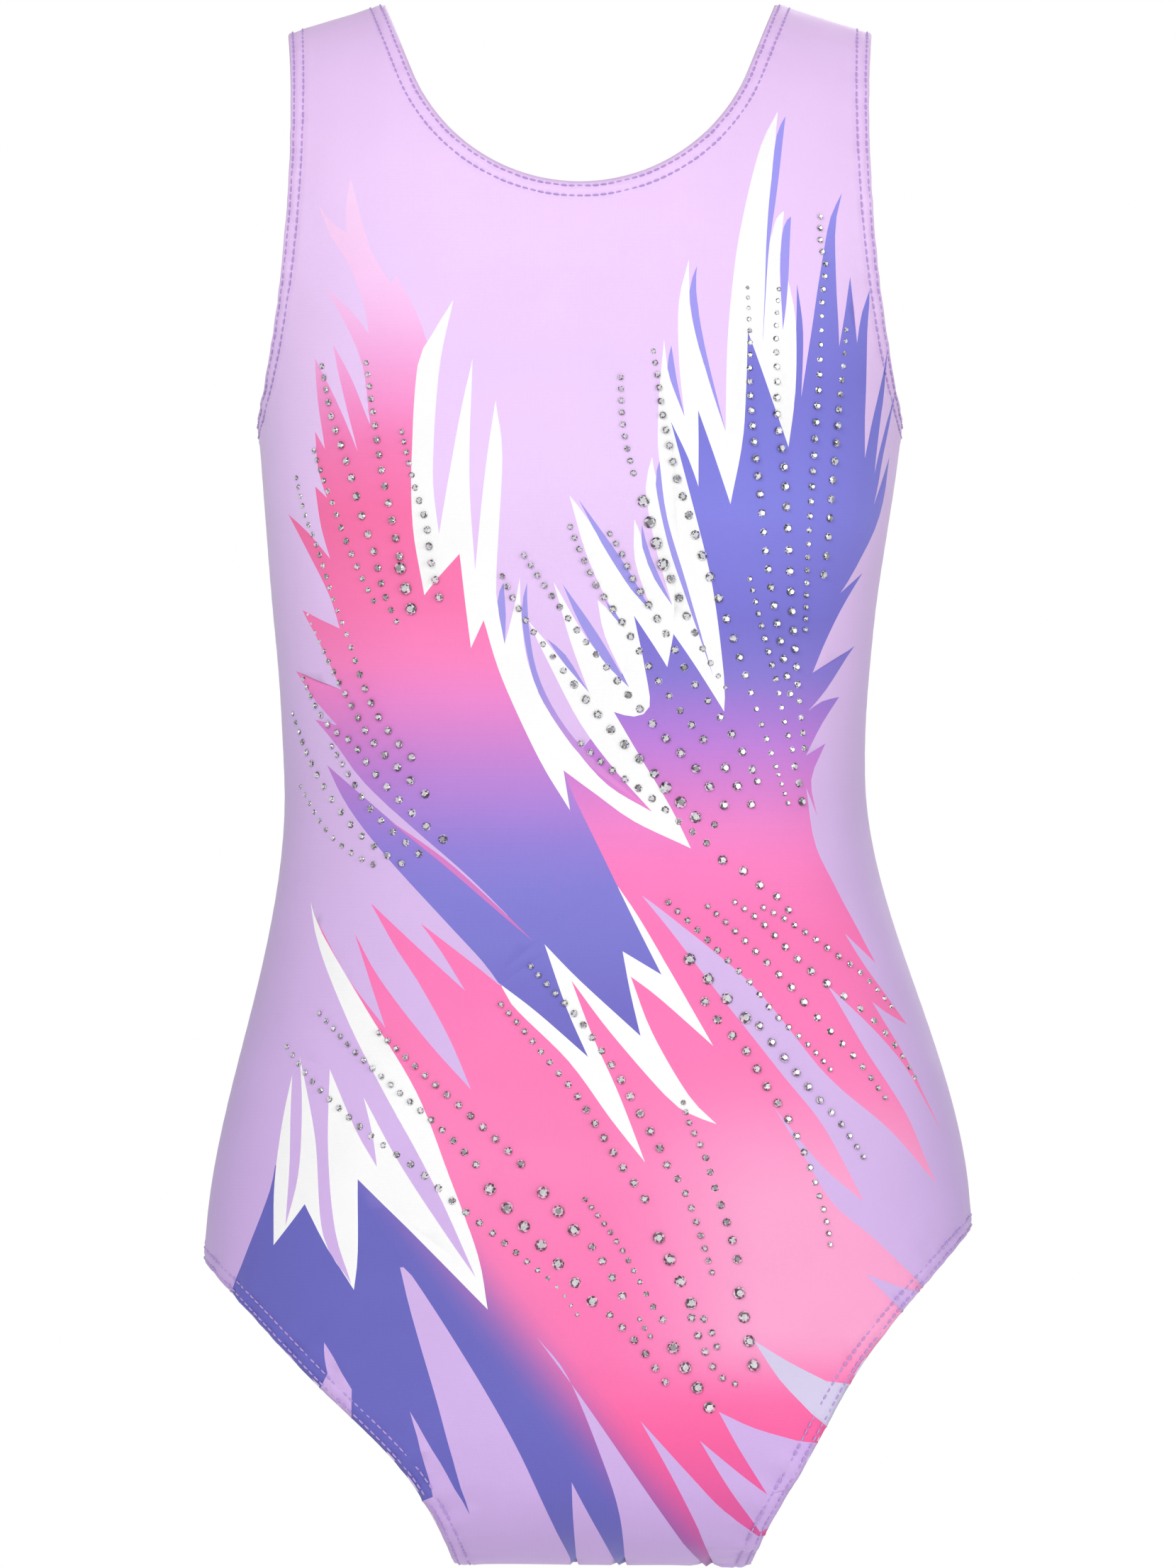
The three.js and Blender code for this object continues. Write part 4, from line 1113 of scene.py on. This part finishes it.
quarter, hemEnd = body["girthQuarter"], overlock["hemEnd"]
for name, side in (("left", 1), ("right", -1)):
    top = panelEdges[True][name + "_armhole"][-1][1] + hemEnd
    bottom = panelEdges[True][name + "_leg"][0][1] - hemEnd
    down = np.linspace(top, bottom, overlock["sidePoints"])
    straightSeam(name + "_side_seam", side * quarter, down, [side, 0.0, 0.0])
    inner = panelEdges[True]["neck"][0][0] * side + side * hemEnd
    outer = panelEdges[True][name + "_armhole"][0][0] - side * hemEnd
    across = np.linspace(inner, outer, overlock["shoulderPoints"])
    straightSeam(name + "_shoulder_seam", across, 0.0, [0.0, 0.0, 1.0])
edge = panelEdges[True]["left_leg"][-1][0] - hemEnd
across = np.linspace(-edge, edge, overlock["crotchPoints"])
straightSeam("crotch_seam", across, runLength[True], [0.0, 0.0, -1.0])
print("seams sewn")

# The crotch lining, a second layer between the leg hems that runs over the crotch seam.
lining = {"height": 58.0, "columns": 26, "rows": 22, "depth": 2.55, "thickness": 0.55, "clearOfHem": 11.5,
          "taper": 3, "clearOfEnd": 0.3}


def cutLining():
    points, uvs = [], []
    leg = legLine()
    for front in (True, False):
        length = runLength[front]
        crotchRun = np.linspace(0, 1, lining["rows"] + 1)
        crotchRun = crotchRun[::-1] if front else crotchRun[1:]
        topZ = np.array([body["crotchZ"] + lining["height"]])
        top = float(flatPlace(np.array([0.0]), topZ, front, False)[1][0])
        for share in crotchRun:
            v = length + (top - length) * share
            z = float(np.interp(v, profiles[front]["run"], profiles[front]["z"]))
            half = float(np.interp(-z, -leg[:, 1], leg[:, 0])) - lining["clearOfHem"] - lining["taper"] * share
            u = np.arcsin(half / float(halfWidthAt(z))) * 2 / math.pi * quarter
            row = np.linspace(-u, u, lining["columns"] + 1)
            down, depth = min(v, length - lining["clearOfEnd"]), np.full(len(row), lining["depth"])
            points.append(clothPlace(row, np.full(len(row), down), front, depth)[0])
            uvs += [(a * mm, v * mm * (1 if front else -1)) for a in row]
    width = lining["columns"] + 1
    faces = [(r * width + c, r * width + c + 1, (r + 1) * width + c + 1, (r + 1) * width + c)
             for r in range(len(points) - 1) for c in range(width - 1)]
    piece = addMesh("crotch_lining_cloth", np.concatenate(points) * mm, faces, [liningKnit])
    layer = piece.data.uv_layers.new(name="flat")
    for loop in piece.data.loops:
        layer.data[loop.index].uv = uvs[loop.vertex_index]
    evenNormals(piece)
    if sum(p.normal.z for p in piece.data.polygons) > 0:
        piece.data.flip_normals()
    thicken(piece, lining["thickness"])
    settle(piece, "crotch_lining")
    return piece


liningPiece = cutLining()
print("lining laid")

# Rhinestones: each row runs through its points, with the diameter at its start, middle and end.
# The points of stoneRows were found by a program, and are to be read again.
stone = {"height": 0.4, "table": 0.5, "largest": 4.6, "pitchPerSize": 2.75, "pitchLess": 1.8, "facets": 8,
         "lift": 0.12, "large": 36, "apart": 0.25}
stoneRows = [
    ([(88.5, -81), (88.5, -92), (90.5, -98.5), (89, -112.5), (88, -140), (87, -155.5), (86, -171.5),
      (85, -186.5), (84, -202), (83.5, -217), (83, -234.5)], 2.2, 2.9, 2.1),
    ([(98, -122.5), (97, -134.5), (95.5, -150.5), (94.5, -164.5), (93, -179), (91.5, -198),
      (89.5, -215)], 2.2, 3.2, 3.2),
    ([(73, -108), (72, -123), (72.5, -142), (72.5, -156.5), (75, -171.5), (76, -189.5), (77, -208),
      (78, -226), (79.5, -243), (80.5, -258), (83, -280)], 2.2, 3.6, 2.6),
    ([(61.5, -107.5), (62.5, -128.5), (62.5, -142.5), (64, -163.5), (66.5, -185.5), (68, -202.5),
      (70.5, -219), (73.5, -235.5), (75, -244), (77.5, -258)], 2, 3.2, 3),
    ([(62.5, -214.5), (65.5, -226.5), (68.5, -238), (72, -251), (75, -266.5), (79.5, -282)], 2.2, 2.6, 2.6),
    ([(15, -140.5), (15.5, -155), (17, -165), (20.5, -179)], 2.2, 2.3, 2.4),
    ([(33.5, -214.5), (39, -227.5), (45.5, -241), (52.5, -253), (55, -257)], 3.4, 3, 2.2),
    ([(27, -131), (28.5, -140), (30.5, -154.5), (33.5, -168.5), (37, -182), (40.5, -192.5), (46, -209),
      (52, -224), (58, -241), (63.5, -258.5), (69, -274.5), (73, -286.5)], 2.2, 3.8, 2.4),
    ([(-3.5, -195.5), (-0.5, -203), (6.5, -218), (14, -228), (21.5, -240.5), (29.5, -253), (38.5, -265),
      (47.5, -276)], 2.2, 3, 3.2),
    ([(11, -198), (15, -204.5), (19.5, -214.5), (26.5, -226), (34, -239), (41.5, -252.5), (52.5, -266.5),
      (62.5, -283), (66.5, -291)], 2.2, 3.4, 3.4),
    ([(-20.5, -206), (-13, -217), (-5.5, -227.5), (2.5, -238), (11, -248.5), (20.5, -260.5), (30.5, -272),
      (42, -283.5), (48, -291.5)], 2.2, 3, 3.8),
    ([(-28.5, -213.5), (-24.5, -222), (-17.5, -233.5), (-8.5, -245), (-0.5, -255.5), (8, -266),
      (16.5, -275.5), (26, -284.5), (31.5, -291)], 2.2, 3.2, 3.6),
    ([(0.5, -275), (8, -282), (15.5, -287.5), (25, -294), (36, -303.5), (47, -312)], 2.4, 3, 3),
    ([(52.5, -318), (59, -321), (65, -326.5), (71.5, -330.5), (75.5, -334.5), (78.5, -339)], 3.8, 3.4, 2.6),
    ([(53.5, -284), (58, -291), (63, -297.5), (66.5, -302.5)], 3.6, 3.8, 2.8),
    ([(48, -291.5), (54, -299)], 3.6, 3.6, 3.6),
    ([(49.5, -305), (53.5, -309)], 2.8, 2.4, 2.2),
    ([(62, -283.5), (66.5, -291)], 3, 3, 3),
    ([(73, -286.5), (75, -292.5), (77, -298)], 2, 2, 2),
    ([(79, -283.5), (81, -291.5), (82.5, -301)], 3, 3.2, 3.4),
    ([(32.5, -333.5), (43, -343.5), (53.5, -354), (63.5, -364), (71, -374), (78.5, -381), (86, -388),
      (92.5, -395.5)], 2.4, 2.8, 2),
    ([(66, -379), (71, -385.5), (80, -396.5), (88, -406), (94.5, -413), (99.5, -420),
      (106.5, -430.5)], 3.4, 3, 2),
    ([(46, -370), (50, -376), (56.5, -383), (61.5, -388.5), (69.5, -402.5), (76.5, -413), (81.5, -423.5),
      (85.5, -433.5), (88.5, -443), (91, -452), (92.5, -462)], 3.6, 3.2, 2),
    ([(47, -335), (56.5, -343.5), (67.5, -354.5), (77.5, -364.5), (85.5, -374), (93.5, -382.5),
      (103.5, -393.5), (114.5, -408.5)], 2.2, 3.4, 2),
    ([(57, -333.5), (66.5, -340.5), (79, -353.5), (89.5, -362.5), (100, -370.5), (109, -378),
      (117.5, -388.5), (124, -399.5)], 2.2, 3.6, 2),
    ([(67.5, -335.5), (76, -340), (85, -346), (94, -352.5), (104.5, -360.5), (115, -372.5)], 2.2, 2.6, 2),
    ([(-96, -374.5), (-89.5, -381.5), (-82, -389.5), (-73, -397.5), (-64, -405.5), (-58, -410.5),
      (-47.5, -420), (-37, -431)], 2, 2.4, 3),
    ([(11, -485), (22, -496.5), (30.5, -508.5), (35, -514)], 3, 3, 2.8),
    ([(-108, -387), (-100, -398), (-89, -409), (-75.5, -420.5), (-60.5, -431), (-46.5, -443.5),
      (-32, -455), (-17.5, -467), (-8, -475), (0.5, -487)], 2, 3.2, 2),
    ([(-74, -381.5), (-64.5, -390), (-55, -399), (-45, -407.5), (-33.5, -418), (-23, -428),
      (-18, -433.5)], 2.2, 2.8, 3.2),
    ([(4.5, -460), (9.5, -467), (13, -473.5), (17, -480.5)], 3, 3.4, 3.8),
    ([(2, -442.5), (9, -451.5), (15.5, -461), (21, -471), (27, -482), (31.5, -488)], 2, 2.2, 3),
    ([(22, -486.5), (24.5, -491), (27.5, -495)], 2, 2, 2),
    ([(-29, -371), (-21.5, -379.5), (-15, -387.5), (-8, -396), (-1, -404.5), (6, -415.5), (13, -426.5),
      (17.5, -433.5), (22.5, -440), (26.5, -447.5)], 2.2, 2.8, 3.4),
    ([(45.5, -486.5), (49, -492.5), (51, -499)], 2.8, 2.6, 2.6),
    ([(-18, -357), (-10, -366), (-1, -375.5), (6.5, -386), (14.5, -397.5), (21.5, -410), (29, -423),
      (32, -430), (37, -436.5), (42, -448.5), (46, -461), (48.5, -469.5)], 2.2, 3.4, 2.2),
    ([(38, -407), (40.5, -415.5), (45.5, -425), (49.5, -438), (55, -454), (58.5, -467)], 2, 3, 3.4),
    ([(-95, -136), (-91.5, -155), (-87.5, -166.5), (-83.5, -179), (-80.5, -190.5), (-75.5, -205.5),
      (-72.5, -218.5), (-68.5, -228), (-66, -233)], 2.2, 3.4, 2.2),
    ([(-78.5, -135), (-75.5, -157.5), (-73, -174), (-70, -188.5), (-67, -203), (-64, -217.5),
      (-61.5, -225), (-59.5, -230.5)], 2.2, 3, 3.4),
    ([(-65.5, -160.5), (-63, -171.5), (-60, -183), (-56.5, -193.5), (-55, -207), (-52, -220),
      (-51, -226.5)], 2, 2.8, 3.2),
    ([(-98, -167), (-94.5, -177.5), (-90.5, -188), (-87, -198), (-82.5, -209), (-78, -218.5),
      (-74, -226)], 2, 2.6, 2.2),
    ([(-104.5, -177), (-101.5, -190), (-96.5, -203.5), (-91.5, -219.5), (-85.5, -235.5), (-80, -252.5),
      (-75, -264), (-66.5, -275.5), (-60.5, -281.5)], 1.9, 2.4, 3.2),
    ([(-100, -227.5), (-92, -246), (-85, -259.5), (-77, -273.5), (-67.5, -283.5), (-60.5, -290.5),
      (-53.5, -296.5)], 1.9, 2.6, 3.6),
    ([(-102, -251), (-98, -260.5), (-91.5, -270), (-84.5, -274), (-76, -285.5), (-65, -297.5),
      (-56.5, -305.5), (-50, -310.5)], 1.9, 2.8, 3.6),
    ([(-106, -264), (-100.5, -279.5), (-94, -291.5), (-87.5, -301), (-80.5, -309), (-70.5, -316.5),
      (-64, -320)], 1.9, 2.8, 2.8),
    ([(-103, -291), (-97.5, -301), (-91.5, -309.5), (-82.5, -316.5), (-73, -321)], 1.9, 2.2, 2.4),
    ([(-91.5, -276), (-82.5, -291), (-76.5, -300), (-66, -310), (-57.5, -317)], 2, 2.8, 3),
    ([(41, -486), (44, -494), (48, -502.5), (52, -508), (60, -511.5)], 3.2, 2.8, 2.2),
    ([(64, -505.5), (66, -510)], 3.4, 3.4, 3.2),
]


# One cut stone of unit diameter: a table, a ring of kite facets, a ring of girdle facets, a flat back.
def stoneShape():
    n, h = stone["facets"], stone["height"]
    ring = lambda radius, z, turn: [(radius * math.cos(2 * math.pi * (k + turn) / n),
                                     radius * math.sin(2 * math.pi * (k + turn) / n), z) for k in range(n)]
    points = ring(stone["table"] / 2, h, 0) + ring(0.4, h * 0.55, 0.5)
    points += ring(0.5, 0.08, 0) + ring(0.46, 0, 0.5)
    faces = [tuple(range(n))]
    for k in range(n):
        k2 = (k + 1) % n
        faces += [(k, n + k, k2), (n + k, n + k2, k2)]
        faces += [(n + k, 2 * n + k, 2 * n + k2), (n + k, 2 * n + k2, n + k2)]
        faces += [(2 * n + k, 3 * n + k, 2 * n + k2), (3 * n + k, 3 * n + k2, 2 * n + k2)]
    faces.append(tuple(3 * n + k for k in range(n))[::-1])
    return np.array(points), faces


stonePoints, stoneFaces = stoneShape()
facetRandom = random.Random(11)


# Painted reflections: bright and dark facets in the colour, as a foiled stone flashes at one angle and not at
# the next.
def paintFacetReflections(piece):
    layer = piece.data.color_attributes.new("facet", "FLOAT_COLOR", "CORNER")
    per = len(stoneFaces)
    values = np.ones((len(piece.data.loops), 4))
    for number, face in enumerate(piece.data.polygons):
        kind = number % per
        if kind == 0:
            levels = [0.45, 0.9, 1.0, 1.0]
        elif (kind - 1) % 6 < 4:
            levels = [0.06, 0.12, 0.3, 0.9, 1.0]
        else:
            levels = [0.03, 0.06, 0.12, 0.4]
        level = facetRandom.choice(levels)
        tone = (level * 0.98, level * 0.97, level)
        for loop in face.loop_indices:
            values[loop, :3] = tone
    layer.data.foreach_set("color", values.ravel())


def stoneObject(name, places, normals, sizes):
    turns = [facetRandom.uniform(0, math.tau) for _ in sizes]
    alongs = np.array([(math.cos(t), 0.1, math.sin(t)) for t in turns])
    points, faces = setMany(stonePoints, stoneFaces, places, alongs, normals, sizes)
    piece = addMesh(name, points, faces, [crystal], smooth=False)
    paintFacetReflections(piece)
    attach(piece, "root")
    return piece


taken = []
for number in range(1, stone["large"] + 1):
    node = f"rhinestone_{number:02d}"
    low, high = (np.array(corner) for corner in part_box(node))
    centre = (low + high) / 2 / mm
    u, v = flatPlace(centre[0:1], centre[2:3], True)
    place, normal = clothPlace(u, v, True, np.array([-stone["lift"]]))
    piece = stoneObject(node + "_cut", place, normal, [stone["largest"]])
    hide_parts(node)
    taken.append((place[0], stone["largest"]))
placedStones = 0
for number, (points, first, middle, last) in enumerate(stoneRows):
    line = np.array(outline([points]))
    run = np.concatenate([[0], np.cumsum(np.linalg.norm(np.diff(line, axis=0), axis=1))])
    at, spots, sizes = 0.0, [], []
    while at <= run[-1]:
        share = at / run[-1]
        size = first + (middle - first) * min(1, 2 * share) + (last - middle) * max(0, 2 * share - 1)
        spots.append([np.interp(at, run, line[:, 0]), np.interp(at, run, line[:, 1])])
        sizes.append(size)
        at += stone["pitchPerSize"] * size - stone["pitchLess"]
    spots = np.array(spots)
    u, v = flatPlace(spots[:, 0], spots[:, 1], True)
    places, normals = clothPlace(u, v, True, np.full(len(u), -stone["lift"]))
    free = []
    for i, (place, size) in enumerate(zip(places, sizes)):
        if all(np.linalg.norm(place - other) > (size + wide) / 2 + stone["apart"] for other, wide in taken):
            taken.append((place, size))
            free.append(i)
    if free:
        stoneObject(f"rhinestone_row_{number + 1:02d}", places[free], normals[free], [sizes[i] for i in free])
        placedStones += len(free)
print("rhinestones set:", stone["large"], "and", placedStones)


# Camera, light and floor.
view = {"centre": (3.0, -290.0), "distance": 6000.0, "height": 583.0, "lens": 300.0}
studio = {"skyStrength": 0.42, "floorSize": 2.4, "floorZ": -0.66}


def aim(obj, target):
    obj.rotation_euler = (Vector(target) - obj.location).to_track_quat("-Z", "Y").to_euler()


cameraData = bpy.data.cameras.new("camera")
cameraData.sensor_fit = "VERTICAL"
cameraData.sensor_height = view["lens"] * view["height"] / view["distance"]
cameraData.lens = view["lens"]
cameraData.clip_end = 50
camera = bpy.data.objects.new("camera", cameraData)
bpy.context.collection.objects.link(camera)
camera.location = (view["centre"][0] * mm, -view["distance"] * mm, view["centre"][1] * mm)
aim(camera, (view["centre"][0] * mm, 0, view["centre"][1] * mm))
bpy.context.scene.camera = camera


def softLight(name, place, size, power, target=(0, 0, -0.3)):
    data = bpy.data.lights.new(name, "AREA")
    data.size = size
    data.energy = power
    lamp = bpy.data.objects.new(name, data)
    bpy.context.collection.objects.link(lamp)
    lamp.location = place
    aim(lamp, target)


softLight("keyLight", (-0.8, -2.4, 1.1), 1.8, 36)
softLight("fillLight", (1.8, -1.8, 0.1), 1.6, 15)
softLight("backLight", (0.8, 2.4, 0.9), 1.8, 26)

world = bpy.data.worlds.new("studio")
bpy.context.scene.world = world
world.use_nodes = True
sky = world.node_tree.nodes["Background"]
path = world.node_tree.nodes.new("ShaderNodeLightPath")
shown = world.node_tree.nodes.new("ShaderNodeBackground")
shown.inputs[0].default_value = (1, 1, 1, 1)
shown.inputs[1].default_value = 1.0
sky.inputs[0].default_value = (1, 1, 1, 1)
sky.inputs[1].default_value = studio["skyStrength"]
blendSky = world.node_tree.nodes.new("ShaderNodeMixShader")
link = world.node_tree.links.new
link(path.outputs["Is Camera Ray"], blendSky.inputs[0])
link(sky.outputs[0], blendSky.inputs[1])
link(shown.outputs[0], blendSky.inputs[2])
link(blendSky.outputs[0], world.node_tree.nodes["World Output"].inputs[0])
bpy.context.scene.view_settings.view_transform = "Standard"

bpy.ops.mesh.primitive_plane_add(size=studio["floorSize"], location=(0, 0, 0))
floor = bpy.context.object
floor.name = "floor"
for vertex in floor.data.vertices:
    vertex.co.z = studio["floorZ"]
paper = Finish("studio paper", Roughness=0.9)
paperPlace = paper.node("ShaderNodeTexCoord", output=3)
grain = paper.node("ShaderNodeTexNoise", {}, {"Vector": paperPlace, "Scale": 60.0})
paper.feed("Base Color", paper.grey(grain, 0.93, 0.96))
floor.data.materials.append(paper.material)
print("studio set")
